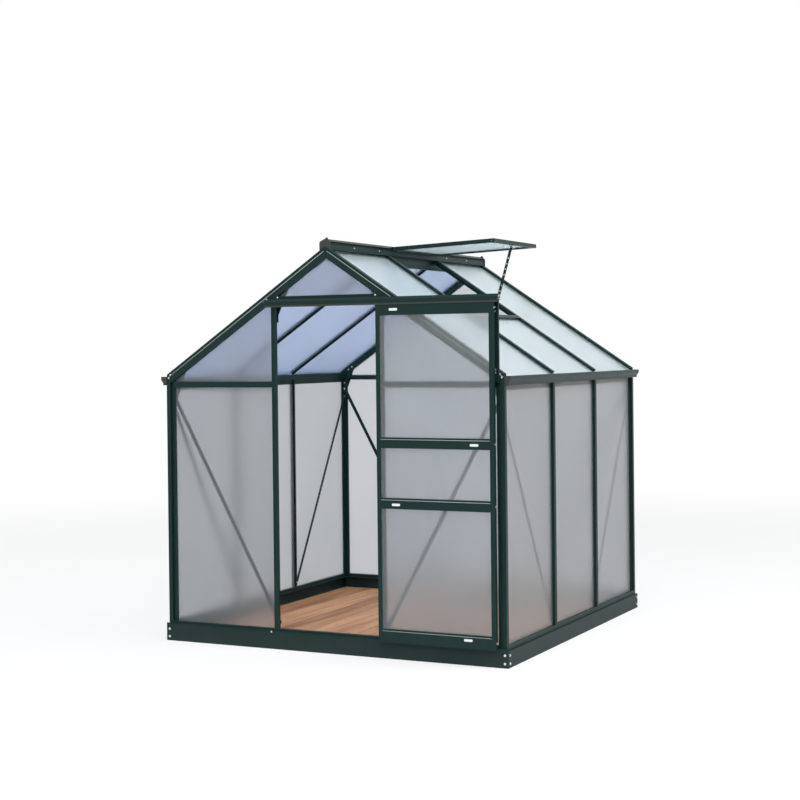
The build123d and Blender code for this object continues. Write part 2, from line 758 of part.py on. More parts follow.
with BuildPart() as back_panels:
    for hand in (-1, 1):
        near, far = outer_bay
        add(flat_sheet("back", box_outline((hand * near, panel_bottom), (hand * far, lower_top)),
                       panel_face, panel))
        add(flat_sheet("back", upper_corner_outline(hand), panel_face, panel))
    middle = gable_post_x - bar_edge
    add(flat_sheet("back", box_outline((-middle, panel_bottom), (middle, lower_top)), panel_face, panel))
    add(flat_sheet("back", gable_outline(rafter_bite, upper_bottom, middle), panel_face, panel))
back_panels.part.label = "back_panels"
export_step(back_panels.part, "parts/back_panels.step")

side_spans = ((-post_slot_y, -side_bar_y - bar_edge), (-side_bar_y + bar_edge, side_bar_y - bar_edge),
              (side_bar_y + bar_edge, post_slot_y))
with BuildPart() as right_panels:
    for start, end in side_spans:
        add(flat_sheet("right", box_outline((start, panel_bottom), (end, side_top)), panel_face, panel))
right_panels.part.label = "right_panels"
export_step(right_panels.part, "parts/right_panels.step")

with BuildPart() as left_panels:
    mirror(right_panels.part, about=Plane.YZ)
left_panels.part.label = "left_panels"
export_step(left_panels.part, "parts/left_panels.step")

# Roof panels, in the slots of the roof bars, from over the gutter to the ridge web
roof_edge = half_depth - bar_nose - edge_play
roof_spans = ((-roof_edge, -side_bar_y - bar_edge), (-side_bar_y + bar_edge, side_bar_y - bar_edge),
              (side_bar_y + bar_edge, roof_edge))
panel_low = -(panel_drip + (panel_face + panel) * sin(pitch)) / cos(pitch)
panel_high = slope_length - (web / 2 + edge_play) / cos(pitch) - (panel_face + panel) * tan(pitch)
sill_slope = (half_width - vent_sill_x) / cos(pitch)
roof_surface = Plane(origin=(half_width, 0, eave_height), x_dir=(-cos(pitch), 0, sin(pitch)),
                     z_dir=(-sin(pitch), 0, -cos(pitch)))


def roof_sheet(start, end, low, high):
    """A sheet in the right slope, between two lines along Y and two distances up the slope."""
    with BuildPart() as sheet:
        with BuildSketch(roof_surface.offset(panel_face)):
            with Locations(((low + high) / 2, (start + end) / 2)):
                Rectangle(high - low, end - start)
        extrude(amount=panel)
    return sheet.part


with BuildPart() as left_roof_panels:
    for start, end in roof_spans:
        mirror(roof_sheet(start, end, panel_low, panel_high), about=Plane.YZ)
left_roof_panels.part.label = "left_roof_panels"
export_step(left_roof_panels.part, "parts/left_roof_panels.step")

with BuildPart() as right_roof_panels:
    for index, (start, end) in enumerate(roof_spans):
        high = sill_slope - bar_edge if index == 1 else panel_high
        add(roof_sheet(start, end, panel_low, high))
right_roof_panels.part.label = "right_roof_panels"
export_step(right_roof_panels.part, "parts/right_roof_panels.step")

# Vent sill, a bar across the middle bay that ends the panel below the vent
vent_gap_half = side_bar_y - bar_face / 2
sill_cross = Plane(origin=(vent_sill_x, -vent_gap_half, roof_z(vent_sill_x)),
                   x_dir=(-sin(pitch), 0, -cos(pitch)), z_dir=(0, 1, 0))
with BuildPart() as vent_sill:
    with BuildSketch(sill_cross):
        add(level_bar(vent_sill_face))
    extrude(amount=2 * vent_gap_half)
vent_sill.part.label = "vent_sill"
export_step(vent_sill.part, "parts/vent_sill.step")

# Vent frame: hinge pin in the ridge's tube, rails round a panel, tilted up a little past level
tilt = radians(vent_tilt)
vent_plane = Plane(origin=(hinge_x, 0, hinge_z), x_dir=(cos(tilt), 0, sin(tilt)),
                   z_dir=(-sin(tilt), 0, cos(tilt)))
vent_cross = Plane(origin=(hinge_x, 0, hinge_z), x_dir=(cos(tilt), 0, sin(tilt)), z_dir=(0, -1, 0))
vent_top = -vent_lift
hinge_rail_start = hinge_tube_radius + joint_play
vent_half = vent_width / 2
slot_middle = -vent_top - vent_thickness / 2
panel_reach = vent_panel_bite + edge_play
with BuildPart() as vent_cross_rails:
    with BuildSketch(vent_cross):
        Circle(hinge_pin_radius)
        Rectangle(hinge_rail_start + vent_neck, vent_neck, align=(Align.MIN, Align.CENTER))
        with Locations((hinge_rail_start, -vent_top)):
            Rectangle(vent_rail, vent_thickness, align=(Align.MIN, Align.MAX))
        with Locations((hinge_rail_start + vent_rail, slot_middle)):
            Rectangle(panel_reach, slot, align=(Align.MAX, Align.CENTER), mode=Mode.SUBTRACT)
    extrude(amount=vent_half, both=True)
    with BuildSketch(vent_cross):
        with Locations((vent_length, -vent_top)):
            Rectangle(vent_rail, vent_thickness, align=(Align.MAX, Align.MAX))
        with Locations((vent_length - vent_rail, slot_middle)):
            Rectangle(panel_reach, slot, align=(Align.MIN, Align.CENTER), mode=Mode.SUBTRACT)
    extrude(amount=vent_half, both=True)
vent_cross_rails.part.label = "vent_cross_rails"
export_step(vent_cross_rails.part, "parts/vent_cross_rails.step")

side_start = hinge_rail_start + vent_rail
side_end = vent_length - vent_rail
with BuildPart() as vent_side_rails:
    for hand in (-1, 1):
        section_origin = vent_plane.from_local_coords((side_start, hand * vent_half, -vent_top))
        with BuildSketch(Plane(origin=section_origin, x_dir=(0, -hand, 0), z_dir=vent_plane.x_dir)):
            Rectangle(vent_rail, vent_thickness, align=(Align.MIN, Align.MAX if hand < 0 else Align.MIN))
            with Locations((vent_rail, -hand * (slot_middle + vent_top))):
                Rectangle(panel_reach, slot, align=(Align.MAX, Align.CENTER), mode=Mode.SUBTRACT)
        extrude(amount=side_end - side_start)
vent_side_rails.part.label = "vent_side_rails"
export_step(vent_side_rails.part, "parts/vent_side_rails.step")

with BuildPart() as vent_panel:
    with BuildSketch(vent_plane.offset(slot_middle - panel / 2)):
        with Locations(((side_start + side_end) / 2, 0)):
            Rectangle(side_end - side_start + 2 * vent_panel_bite,
                      vent_width - 2 * vent_rail + 2 * vent_panel_bite)
    extrude(amount=panel)
vent_panel.part.label = "vent_panel"
export_step(vent_panel.part, "parts/vent_panel.step")

# Stay: a perforated flat bar from the vent's outer rail down to a bracket on the vent sill
stay_head_x = vent_length - stay_head_inset
stay_head = vent_plane.from_local_coords((stay_head_x, 0, -vent_top - vent_thickness - stay_end))
peg_plane = Plane(origin=(vent_sill_x, 0, roof_z(vent_sill_x)), x_dir=(cos(pitch), 0, -sin(pitch)),
                  z_dir=(sin(pitch), 0, cos(pitch)))
stay_foot = peg_plane.from_local_coords((-vent_sill_face / 2 - stay_setback, 0, stay_peg_height))
stay_run = stay_head - stay_foot
stay_plane = Plane(origin=stay_foot, x_dir=stay_run.normalized(), z_dir=(0, -1, 0))
stay_holes = int(stay_run.length // stay_hole_pitch)
with BuildPart() as vent_stay:
    with BuildSketch(stay_plane):
        with Locations((stay_run.length / 2, 0)):
            SlotCenterToCenter(stay_run.length, stay_width)
        with Locations((stay_run.length, 0)):
            Circle(stay_hole_radius, mode=Mode.SUBTRACT)
        with Locations(*[(index * stay_hole_pitch, 0) for index in range(stay_holes)]):
            Circle(stay_hole_radius, mode=Mode.SUBTRACT)
    extrude(amount=stay_thickness / 2, both=True)
vent_stay.part.label = "vent_stay"
export_step(vent_stay.part, "parts/vent_stay.step")

ear_gap = stay_thickness / 2 + joint_play
with BuildPart() as stay_brackets:
    with BuildSketch(vent_plane.offset(-vent_top - vent_thickness)):
        with Locations((stay_head_x, ear_gap)):
            Rectangle(stay_ear_width, stay_ear, align=(Align.CENTER, Align.MIN))
    extrude(amount=-stay_end - stay_width / 2)
    with BuildSketch(peg_plane.offset(-stay_ear_drop)):
        with Locations((-vent_sill_face / 2, ear_gap)):
            Rectangle(stay_setback + stay_ear_width / 2, stay_ear, align=(Align.MAX, Align.MIN))
    extrude(amount=stay_ear_drop + stay_peg_height + stay_width / 2)
    for centre in (stay_head, stay_foot):
        with BuildSketch(Plane(origin=centre, x_dir=(1, 0, 0), z_dir=(0, -1, 0))):
            Circle(stay_pin_radius)
        extrude(amount=ear_gap + stay_ear, both=True)
stay_brackets.part.label = "stay_brackets"
export_step(stay_brackets.part, "parts/stay_brackets.step")

# Door track: a bevelled channel with two running ledges, on a flange bolted to the gable's face
slot_far = door_middle + track_slot / 2
with BuildSketch() as track_outline:
    with BuildLine():
        Polyline((-track_front, 0), (-track_back, 0), (-track_back, track_height),
                 (-track_front + track_bevel_reach, track_height),
                 (-track_front, track_height - track_bevel_height), close=True)
    make_face()
with BuildSketch() as track_room:
    add(track_outline.sketch)
    offset(amount=-wall, mode=Mode.REPLACE)
with BuildPart() as door_rail:
    with BuildSketch(rail_plane("front", track_start, track_bottom)):
        add(track_outline.sketch)
        add(track_room.sketch, mode=Mode.SUBTRACT)
        with Locations((-door_middle, 0)):
            Rectangle(track_slot, wall, align=(Align.CENTER, Align.MIN), mode=Mode.SUBTRACT)
        with Locations((0, track_height)):
            Rectangle(track_back, wall, align=(Align.MAX, Align.MAX))
            Rectangle(wall, track_height, align=(Align.MAX, Align.MAX))
    extrude(amount=track_end - track_start)
    with BuildSketch(rail_plane("front", strut_left - joint_play, track_bottom)):
        Rectangle(wall, track_height - wall, align=(Align.MAX, Align.MIN))
    extrude(amount=track_end - strut_left + joint_play, mode=Mode.SUBTRACT)
door_rail.part.label = "door_rail"
export_step(door_rail.part, "parts/door_rail.step")

with BuildPart() as door_rail_stops:
    for start in (track_start, track_end - stop_length):
        with BuildSketch(rail_plane("front", start, track_bottom)):
            add(track_room.sketch)
        extrude(amount=stop_length)
door_rail_stops.part.label = "door_rail_stops"
export_step(door_rail_stops.part, "parts/door_rail_stops.step")

# Strut: an angle that carries the free end of the track from the corner post
strut_top = track_bottom + track_height - wall
with BuildPart() as door_rail_strut:
    with BuildSketch(post_plane("front", strut_left, strut_foot)):
        Rectangle(strut_width, wall, align=(Align.MIN, Align.MAX))
        with Locations((strut_width, 0)):
            Rectangle(wall, strut_flange, align=(Align.MAX, Align.MAX))
    extrude(amount=strut_top - strut_foot)
door_rail_strut.part.label = "door_rail_strut"
export_step(door_rail_strut.part, "parts/door_rail_strut.step")

# Sliding door: two stiles, four rails and three panels
door_left = door_travel - door_width / 2
door_right = door_travel + door_width / 2
door_box = 2 * wall + slot
with BuildPart() as door_stiles:
    for edge, hand in ((door_left, 1), (door_right, -1)):
        with BuildSketch(post_plane("front", edge, door_bottom, door_front)):
            with Locations((hand * stile_face / 2, 0)):
                Rectangle(stile_face, door_depth, align=(Align.CENTER, Align.MIN))
            with Locations((hand * (stile_face - panel_reach / 2), wall)):
                Rectangle(panel_reach, slot, align=(Align.CENTER, Align.MIN), mode=Mode.SUBTRACT)
            with Locations((hand * stile_face / 2, door_box)):
                Rectangle(stile_face - 2 * wall, door_depth - door_box - wall,
                          align=(Align.CENTER, Align.MIN), mode=Mode.SUBTRACT)
        extrude(amount=door_top - door_bottom)
door_stiles.part.label = "door_stiles"
export_step(door_stiles.part, "parts/door_stiles.step")

rail_inner_start = door_left + stile_face
rail_length = door_width - 2 * stile_face
door_rails = (
    (door_bottom, door_bottom_rail, False, True),
    (door_mid_heights[0] - door_mid_rail / 2, door_mid_rail, True, True),
    (door_mid_heights[1] - door_mid_rail / 2, door_mid_rail, True, True),
    (door_top - door_top_rail, door_top_rail, True, False),
)
with BuildPart() as door_cross_rails:
    for low, face, slot_below, slot_above in door_rails:
        with BuildSketch(rail_plane("front", rail_inner_start, low, door_front)):
            Rectangle(door_depth, face, align=(Align.MIN, Align.MIN))
            with Locations((door_box, wall)):
                Rectangle(door_depth - door_box - wall, face - 2 * wall,
                          align=(Align.MIN, Align.MIN), mode=Mode.SUBTRACT)
            if slot_above and slot_below:
                with Locations((0, face - door_mid_groove)):
                    Rectangle(groove_depth, bar_groove, align=(Align.MIN, Align.CENTER), mode=Mode.SUBTRACT)
            if slot_above:
                with Locations((wall, face)):
                    Rectangle(slot, panel_reach, align=(Align.MIN, Align.MAX), mode=Mode.SUBTRACT)
            if slot_below:
                with Locations((wall, 0)):
                    Rectangle(slot, panel_reach, align=(Align.MIN, Align.MIN), mode=Mode.SUBTRACT)
        extrude(amount=rail_length)
door_cross_rails.part.label = "door_cross_rails"
export_step(door_cross_rails.part, "parts/door_cross_rails.step")

with BuildPart() as door_panels:
    for below, over in zip(door_rails, door_rails[1:]):
        low = below[0] + below[1] - vent_panel_bite
        high = over[0] + vent_panel_bite
        left = rail_inner_start - vent_panel_bite
        right = rail_inner_start + rail_length + vent_panel_bite
        near = wall + panel_play - door_front
        add(flat_sheet("front", box_outline((left, low), (right, high)), near, panel))
door_panels.part.label = "door_panels"
export_step(door_panels.part, "parts/door_panels.step")

# Hangers on the door's top rail, with a wheel on each ledge of the track
ledge = track_bottom + wall
wheel_height = ledge + wheel_play + wheel_radius
hanger_spots = (door_left + hanger_inset, door_right - hanger_inset)
with BuildPart() as door_hangers:
    for x in hanger_spots:
        with BuildSketch(Plane.XY.offset(door_top)):
            with Locations((x, -half_depth - door_middle)):
                Rectangle(hanger_width, hanger_foot)
        extrude(amount=wall)
        with BuildSketch(face_plane("front", -door_middle - hanger_thickness / 2)):
            with Locations((x, door_top)):
                Rectangle(hanger_width, wheel_height - door_top, align=(Align.CENTER, Align.MIN))
            with Locations((x, wheel_height)):
                Circle(wheel_radius - wall)
            with Locations((x, wheel_height)):
                Circle(axle_radius, mode=Mode.SUBTRACT)
        extrude(amount=-hanger_thickness)
door_hangers.part.label = "door_hangers"
export_step(door_hangers.part, "parts/door_hangers.step")

ledge_middle = (track_front - wall + slot_far) / 2
wheel_offset = ledge_middle - door_middle
with BuildPart() as door_wheels:
    for x in hanger_spots:
        axle_plane = Plane(origin=(x, -half_depth - door_middle, wheel_height),
                           x_dir=(1, 0, 0), z_dir=(0, -1, 0))
        with BuildSketch(axle_plane):
            Circle(axle_radius)
        extrude(amount=wheel_offset + wheel_width / 2, both=True)
        for hand in (-1, 1):
            with BuildSketch(axle_plane.offset(hand * wheel_offset)):
                Circle(wheel_radius)
            extrude(amount=wheel_width / 2, both=True)
door_wheels.part.label = "door_wheels"
export_step(door_wheels.part, "parts/door_wheels.step")

# Guide shoes: hooks behind the bottom rail, with a finger down into the sill's groove
finger_middle = groove_width / 2
finger_bottom = sill_bottom + wall + 2 * shoe_play
bridge_bottom = sill_bottom + groove_lip + shoe_play
shoe_top = sill_bottom + shoe_height
with BuildPart() as door_guide_shoes:
    for x in (door_left + shoe_inset, door_right - shoe_inset - shoe_length):
        with BuildSketch(rail_plane("front", x, 0)):
            with Locations((-door_gap, bridge_bottom)):
                Rectangle(door_gap - finger_middle, shoe_top - bridge_bottom, align=(Align.MIN, Align.MIN))
            with Locations((-finger_middle, finger_bottom)):
                Rectangle(shoe_finger, shoe_top - finger_bottom, align=(Align.CENTER, Align.MIN))
        extrude(amount=shoe_length)
door_guide_shoes.part.label = "door_guide_shoes"
export_step(door_guide_shoes.part, "parts/door_guide_shoes.step")
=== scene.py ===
from math import cos, pi, radians, sin, tan

import bpy
import numpy as np
from mathutils import Matrix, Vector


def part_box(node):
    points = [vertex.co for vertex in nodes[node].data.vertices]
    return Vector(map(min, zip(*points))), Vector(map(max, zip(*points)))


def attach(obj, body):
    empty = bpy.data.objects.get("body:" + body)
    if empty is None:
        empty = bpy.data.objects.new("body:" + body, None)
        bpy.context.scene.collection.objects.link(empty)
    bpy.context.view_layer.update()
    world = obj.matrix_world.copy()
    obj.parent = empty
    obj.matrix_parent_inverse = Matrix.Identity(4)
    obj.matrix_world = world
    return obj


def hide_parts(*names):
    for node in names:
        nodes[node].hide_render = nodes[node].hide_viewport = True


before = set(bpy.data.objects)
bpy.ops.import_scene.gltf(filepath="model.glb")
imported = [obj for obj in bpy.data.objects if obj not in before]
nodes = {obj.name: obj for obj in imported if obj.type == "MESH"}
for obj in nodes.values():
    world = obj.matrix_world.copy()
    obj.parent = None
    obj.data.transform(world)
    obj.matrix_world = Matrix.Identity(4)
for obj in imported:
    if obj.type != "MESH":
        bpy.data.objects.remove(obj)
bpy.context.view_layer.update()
scene = bpy.context.scene
scene.view_settings.view_transform = "Standard"


# Camera. It stands to the right of the open doorway at a person's eye height, almost nine metres off,
# and looks level and to the left with a long lens, shifted down a little to take in the base.
camera_place = (3.8319, -7.8777, 1.4957)
camera_heading = 26.35
camera_dip = 0.6
camera_roll = -0.63
camera_lens = 72.0
camera_sensor = 36.0
camera_shift = -0.0414

camera_data = bpy.data.cameras.new("camera")
camera_data.sensor_width = camera_sensor
camera_data.lens = camera_lens
camera_data.shift_y = camera_shift
camera = bpy.data.objects.new("camera", camera_data)
scene.collection.objects.link(camera)
camera.matrix_world = (
    Matrix.Translation(camera_place)
    @ Matrix.Rotation(radians(camera_heading), 4, "Z")
    @ Matrix.Rotation(radians(90.0 - camera_dip), 4, "X")
    @ Matrix.Rotation(radians(camera_roll), 4, "Z")
)
scene.camera = camera


# Daylight. A pale sky lights everything evenly, and four large soft lamps stand for the brighter parts
# of it. The camera, gloss and clear sheets see plain white beyond the floor.
sky_tint = (0.93, 0.96, 1.0)
sky_strength = 0.55
pure_white = (1.0, 1.0, 1.0, 1.0)

world = bpy.data.worlds.new("sky")
world.use_nodes = True
scene.world = world
sky_nodes = world.node_tree.nodes
sky_links = world.node_tree.links
sky_nodes.clear()
sky_output = sky_nodes.new("ShaderNodeOutputWorld")
sky_light = sky_nodes.new("ShaderNodeBackground")
sky_light.inputs["Color"].default_value = (*sky_tint, 1.0)
sky_light.inputs["Strength"].default_value = sky_strength
sky_white = sky_nodes.new("ShaderNodeBackground")
sky_white.inputs["Color"].default_value = pure_white
sky_white.inputs["Strength"].default_value = 1.0


def seen_directly(tree):
    """A socket that is 1 on rays from the camera, in gloss and through clear sheets, and 0 on others."""
    path = tree.nodes.new("ShaderNodeLightPath")
    seen = path.outputs["Is Camera Ray"]
    for kind in ("Is Glossy Ray", "Is Transmission Ray"):
        larger = tree.nodes.new("ShaderNodeMath")
        larger.operation = "MAXIMUM"
        tree.links.new(seen, larger.inputs[0])
        tree.links.new(path.outputs[kind], larger.inputs[1])
        seen = larger.outputs["Value"]
    return seen


sky_mix = sky_nodes.new("ShaderNodeMixShader")
sky_links.new(seen_directly(world.node_tree), sky_mix.inputs["Fac"])
sky_links.new(sky_light.outputs["Background"], sky_mix.inputs[1])
sky_links.new(sky_white.outputs["Background"], sky_mix.inputs[2])
sky_links.new(sky_mix.outputs["Shader"], sky_output.inputs["Surface"])

for name, place, turn, size, power in (
    ("front_lamp", (2.0, -6.5, 5.0), (52.0, 0.0, 17.0), 4.0, 220.0),
    ("right_lamp", (6.0, 1.0, 5.5), (48.0, 0.0, 99.0), 3.0, 210.0),
    ("left_lamp", (-5.5, -2.0, 4.5), (55.0, 0.0, -70.0), 3.0, 90.0),
    ("top_lamp", (2.5, -1.0, 6.5), (0.0, 22.0, 0.0), 3.0, 130.0),
):
    lamp_data = bpy.data.lights.new(name, "AREA")
    lamp_data.shape = "SQUARE"
    lamp_data.size = size
    lamp_data.energy = power
    lamp = bpy.data.objects.new(name, lamp_data)
    lamp.location = place
    lamp.rotation_euler = [radians(angle) for angle in turn]
    scene.collection.objects.link(lamp)


# Ground. A plain pale studio floor under the greenhouse. Its paint glows white to whatever sees it in a
# straight line, most of all far out, so that it meets the white backdrop, and it still takes the shadow.
floor_half = 14.0
floor_tone = 0.86
floor_glow = 0.7
shadow_reach = 3.5
white_from = 9.0

floor_mesh = bpy.data.meshes.new("studio_floor")
floor_mesh.from_pydata(
    [(-floor_half, -floor_half, 0.0), (floor_half, -floor_half, 0.0), (floor_half, floor_half, 0.0),
     (-floor_half, floor_half, 0.0)], [], [(0, 1, 2, 3)])
floor_object = bpy.data.objects.new("studio_floor", floor_mesh)
scene.collection.objects.link(floor_object)
floor_paint = bpy.data.materials.new("floor_paint")
floor_paint.use_nodes = True
floor_tree = floor_paint.node_tree
floor_tree.nodes.clear()
floor_lit = floor_tree.nodes.new("ShaderNodeBsdfDiffuse")
floor_lit.inputs["Color"].default_value = (floor_tone, floor_tone, floor_tone, 1.0)
floor_white = floor_tree.nodes.new("ShaderNodeEmission")
floor_white.inputs["Color"].default_value = pure_white
floor_place = floor_tree.nodes.new("ShaderNodeTexCoord")
floor_distance = floor_tree.nodes.new("ShaderNodeVectorMath")
floor_distance.operation = "LENGTH"
floor_tree.links.new(floor_place.outputs["Object"], floor_distance.inputs[0])
floor_sweep = floor_tree.nodes.new("ShaderNodeMapRange")
floor_sweep.interpolation_type = "SMOOTHSTEP"
floor_sweep.inputs["From Min"].default_value = shadow_reach
floor_sweep.inputs["From Max"].default_value = white_from
floor_sweep.inputs["To Min"].default_value = floor_glow
floor_sweep.inputs["To Max"].default_value = 1.0
floor_tree.links.new(floor_distance.outputs["Value"], floor_sweep.inputs["Value"])
floor_share = floor_tree.nodes.new("ShaderNodeMath")
floor_share.operation = "MULTIPLY"
floor_tree.links.new(floor_sweep.outputs["Result"], floor_share.inputs[1])
floor_tree.links.new(seen_directly(floor_tree), floor_share.inputs[0])
floor_mix = floor_tree.nodes.new("ShaderNodeMixShader")
floor_tree.links.new(floor_share.outputs["Value"], floor_mix.inputs["Fac"])
floor_tree.links.new(floor_lit.outputs["BSDF"], floor_mix.inputs[1])
floor_tree.links.new(floor_white.outputs["Emission"], floor_mix.inputs[2])
floor_output = floor_tree.nodes.new("ShaderNodeOutputMaterial")
floor_tree.links.new(floor_mix.outputs["Shader"], floor_output.inputs["Surface"])
floor_mesh.materials.append(floor_paint)


# Steel base. Four rails folded from galvanised sheet, mitred and powder-coated dark green, stand on the
# ground and carry everything else. Soil dust has settled along their lower edges.
base_green = (0.009, 0.023, 0.022)
base_dusty = (0.026, 0.042, 0.04)
dust_height = 0.10
dust_at_foot = 1.3
dust_above = 0.3
base_roughness = 0.5
coat_smoother = 0.05
coat_duller = 0.12
coat_gloss = 0.15
coat_patch_scale = 7.0
peel_scale = 900.0
peel_depth = 0.0004
peel_strength = 0.12


def powder_coat(name, colour, dusty, roughness, dusty_up_to):
    """Baked powder paint: orange peel a millimetre across, faint patches, and dust that thins with height."""
    coat = bpy.data.materials.new(name)
    coat.use_nodes = True
    tree = coat.node_tree
    shader = tree.nodes["Principled BSDF"]
    shader.inputs["Specular IOR Level"].default_value = coat_gloss
    place = tree.nodes.new("ShaderNodeTexCoord")
    patches = tree.nodes.new("ShaderNodeTexNoise")
    patches.inputs["Scale"].default_value = coat_patch_scale
    patches.inputs["Detail"].default_value = 5.0
    tree.links.new(place.outputs["Object"], patches.inputs["Vector"])
    height = tree.nodes.new("ShaderNodeSeparateXYZ")
    tree.links.new(place.outputs["Object"], height.inputs["Vector"])
    settled = tree.nodes.new("ShaderNodeMapRange")
    settled.inputs["From Max"].default_value = dusty_up_to
    settled.inputs["To Min"].default_value = dust_at_foot
    settled.inputs["To Max"].default_value = dust_above
    tree.links.new(height.outputs["Z"], settled.inputs["Value"])
    amount = tree.nodes.new("ShaderNodeMath")
    amount.operation = "MULTIPLY"
    amount.use_clamp = True
    tree.links.new(patches.outputs["Fac"], amount.inputs[0])
    tree.links.new(settled.outputs["Result"], amount.inputs[1])
    shade = tree.nodes.new("ShaderNodeMix")
    shade.data_type = "RGBA"
    shade.inputs["A"].default_value = (*colour, 1.0)
    shade.inputs["B"].default_value = (*dusty, 1.0)
    tree.links.new(amount.outputs["Value"], shade.inputs["Factor"])
    tree.links.new(shade.outputs["Result"], shader.inputs["Base Color"])
    dull = tree.nodes.new("ShaderNodeMapRange")
    dull.inputs["To Min"].default_value = roughness - coat_smoother
    dull.inputs["To Max"].default_value = roughness + coat_duller
    tree.links.new(amount.outputs["Value"], dull.inputs["Value"])
    tree.links.new(dull.outputs["Result"], shader.inputs["Roughness"])
    peel = tree.nodes.new("ShaderNodeTexNoise")
    peel.inputs["Scale"].default_value = peel_scale
    peel.inputs["Detail"].default_value = 1.0
    tree.links.new(place.outputs["Object"], peel.inputs["Vector"])
    bump = tree.nodes.new("ShaderNodeBump")
    bump.inputs["Strength"].default_value = peel_strength
    bump.inputs["Distance"].default_value = peel_depth
    tree.links.new(peel.outputs["Fac"], bump.inputs["Height"])
    tree.links.new(bump.outputs["Normal"], shader.inputs["Normal"])
    return coat


def finish_nodes(material, *names):
    """Gives solids of the frame their material."""
    for name in names:
        nodes[name].data.materials.clear()
        nodes[name].data.materials.append(material)


base_coat = powder_coat("base_coat", base_green, base_dusty, base_roughness, dust_height)
finish_nodes(base_coat, "front_base_rail", "back_base_rail", "left_base_rail", "right_base_rail")


# Base bolts. Zinc-plated steel bolts with hexagon heads on round washers, two above each other close to
# each corner, clamp the rails to an angle inside. Smaller ones hold the guide groove at the jambs' feet.
bolt_across = 0.010
small_bolt_across = 0.007
base_front_y = -0.970
base_side_x = 0.960
corner_bolt_heights = (0.021, 0.060)
corner_bolt_x = 0.942
corner_bolt_y = 0.953
groove_bolt_x = 0.3276
groove_bolt_height = 0.0862
head_points = 12
washer_share = 0.66
washer_rise = 0.11
head_rise = 0.38
crown_rise = 0.46
crown_share = 0.82
zinc_bright = (0.82, 0.83, 0.84)
zinc_roughness = 0.35
zinc_smoother = 0.1
zinc_duller = 0.2
spangle_scale = 350.0
spangle_shade = 0.75
weather_scale = 160.0


def ring_quads(rows, columns):
    """Corner numbers of the quads between rows of points, each row closed to a ring."""
    row, column = np.meshgrid(np.arange(rows - 1), np.arange(columns), indexing="ij")
    after = (column + 1) % columns
    return np.stack([row * columns + column, row * columns + after,
                     (row + 1) * columns + after, (row + 1) * columns + column], -1).reshape(-1, 4)


def closed_rings(name, points, material, body, smooth=False):
    """A mesh of closed tubes: points is an array of pieces, rows and columns, and each end row gets a lid."""
    pieces, rows, columns = points.shape[:3]
    shift = (np.arange(pieces) * rows * columns)[:, None]
    quads = (ring_quads(rows, columns)[None] + shift[:, :, None]).reshape(-1, 4)
    tops = np.arange((rows - 1) * columns, rows * columns) + shift
    bottoms = np.arange(columns)[::-1] + shift
    mesh = bpy.data.meshes.new(name)
    mesh.from_pydata(points.reshape(-1, 3).tolist(), [], quads.tolist() + tops.tolist() + bottoms.tolist())
    mesh.polygons.foreach_set("use_smooth", np.full(len(mesh.polygons), smooth))
    mesh.materials.append(material)
    piece = bpy.data.objects.new(name, mesh)
    scene.collection.objects.link(piece)
    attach(piece, body)
    return piece


def bolt_heads(name, spots, outward, across, material, body):
    """Hexagon heads on washers, each a profile (r, h) turned about its axis n.

    A point is p = c + h n + r (u cos t + v sin t). c is the middle of the foot, and u and v are square to n.
    On the head's own rings r grows towards the corners: it is the half width over the flats divided by the
    cosine of the angle from t to the middle of the nearest flat.
    """
    spots = np.atleast_2d(np.asarray(spots, float))
    outward = np.broadcast_to(np.asarray(outward, float), spots.shape)
    outward = outward / np.linalg.norm(outward, axis=1, keepdims=True)
    first = np.cross([[0.0, 0.0, 1.0]], outward)
    first = first / np.linalg.norm(first, axis=1, keepdims=True)
    second = np.cross(outward, first)
    turn = np.arange(head_points) * 2 * pi / head_points
    hexagon = across / 2 / np.cos((turn + pi / 6) % (pi / 3) - pi / 6)
    washer = np.full(head_points, washer_share * across)
    radius = np.stack([washer, washer, hexagon, hexagon, crown_share * hexagon])
    rise = np.array([0.0, washer_rise, washer_rise, head_rise, crown_rise]) * across
    points = (spots[:, None, None] + rise[None, :, None, None] * outward[:, None, None]
              + (radius * np.cos(turn))[None, ..., None] * first[:, None, None]
              + (radius * np.sin(turn))[None, ..., None] * second[:, None, None])
    heads = closed_rings(name, points, material, body)
    return heads


def zinc_plate(name, colour, roughness):
    """Bright zinc on steel: fine spangle, and dull spots where it has weathered."""
    plating = bpy.data.materials.new(name)
    plating.use_nodes = True
    tree = plating.node_tree
    shader = tree.nodes["Principled BSDF"]
    shader.inputs["Metallic"].default_value = 1.0
    place = tree.nodes.new("ShaderNodeTexCoord")
    spangle = tree.nodes.new("ShaderNodeTexVoronoi")
    spangle.inputs["Scale"].default_value = spangle_scale
    tree.links.new(place.outputs["Object"], spangle.inputs["Vector"])
    grey = tree.nodes.new("ShaderNodeMix")
    grey.data_type = "RGBA"
    grey.inputs["A"].default_value = (*colour, 1.0)
    grey.inputs["B"].default_value = (*[spangle_shade * part for part in colour], 1.0)
    tree.links.new(spangle.outputs["Distance"], grey.inputs["Factor"])
    tree.links.new(grey.outputs["Result"], shader.inputs["Base Color"])
    weather = tree.nodes.new("ShaderNodeTexNoise")
    weather.inputs["Scale"].default_value = weather_scale
    tree.links.new(place.outputs["Object"], weather.inputs["Vector"])
    dull = tree.nodes.new("ShaderNodeMapRange")
    dull.inputs["To Min"].default_value = roughness - zinc_smoother
    dull.inputs["To Max"].default_value = roughness + zinc_duller
    tree.links.new(weather.outputs["Fac"], dull.inputs["Value"])
    tree.links.new(dull.outputs["Result"], shader.inputs["Roughness"])
    return plating


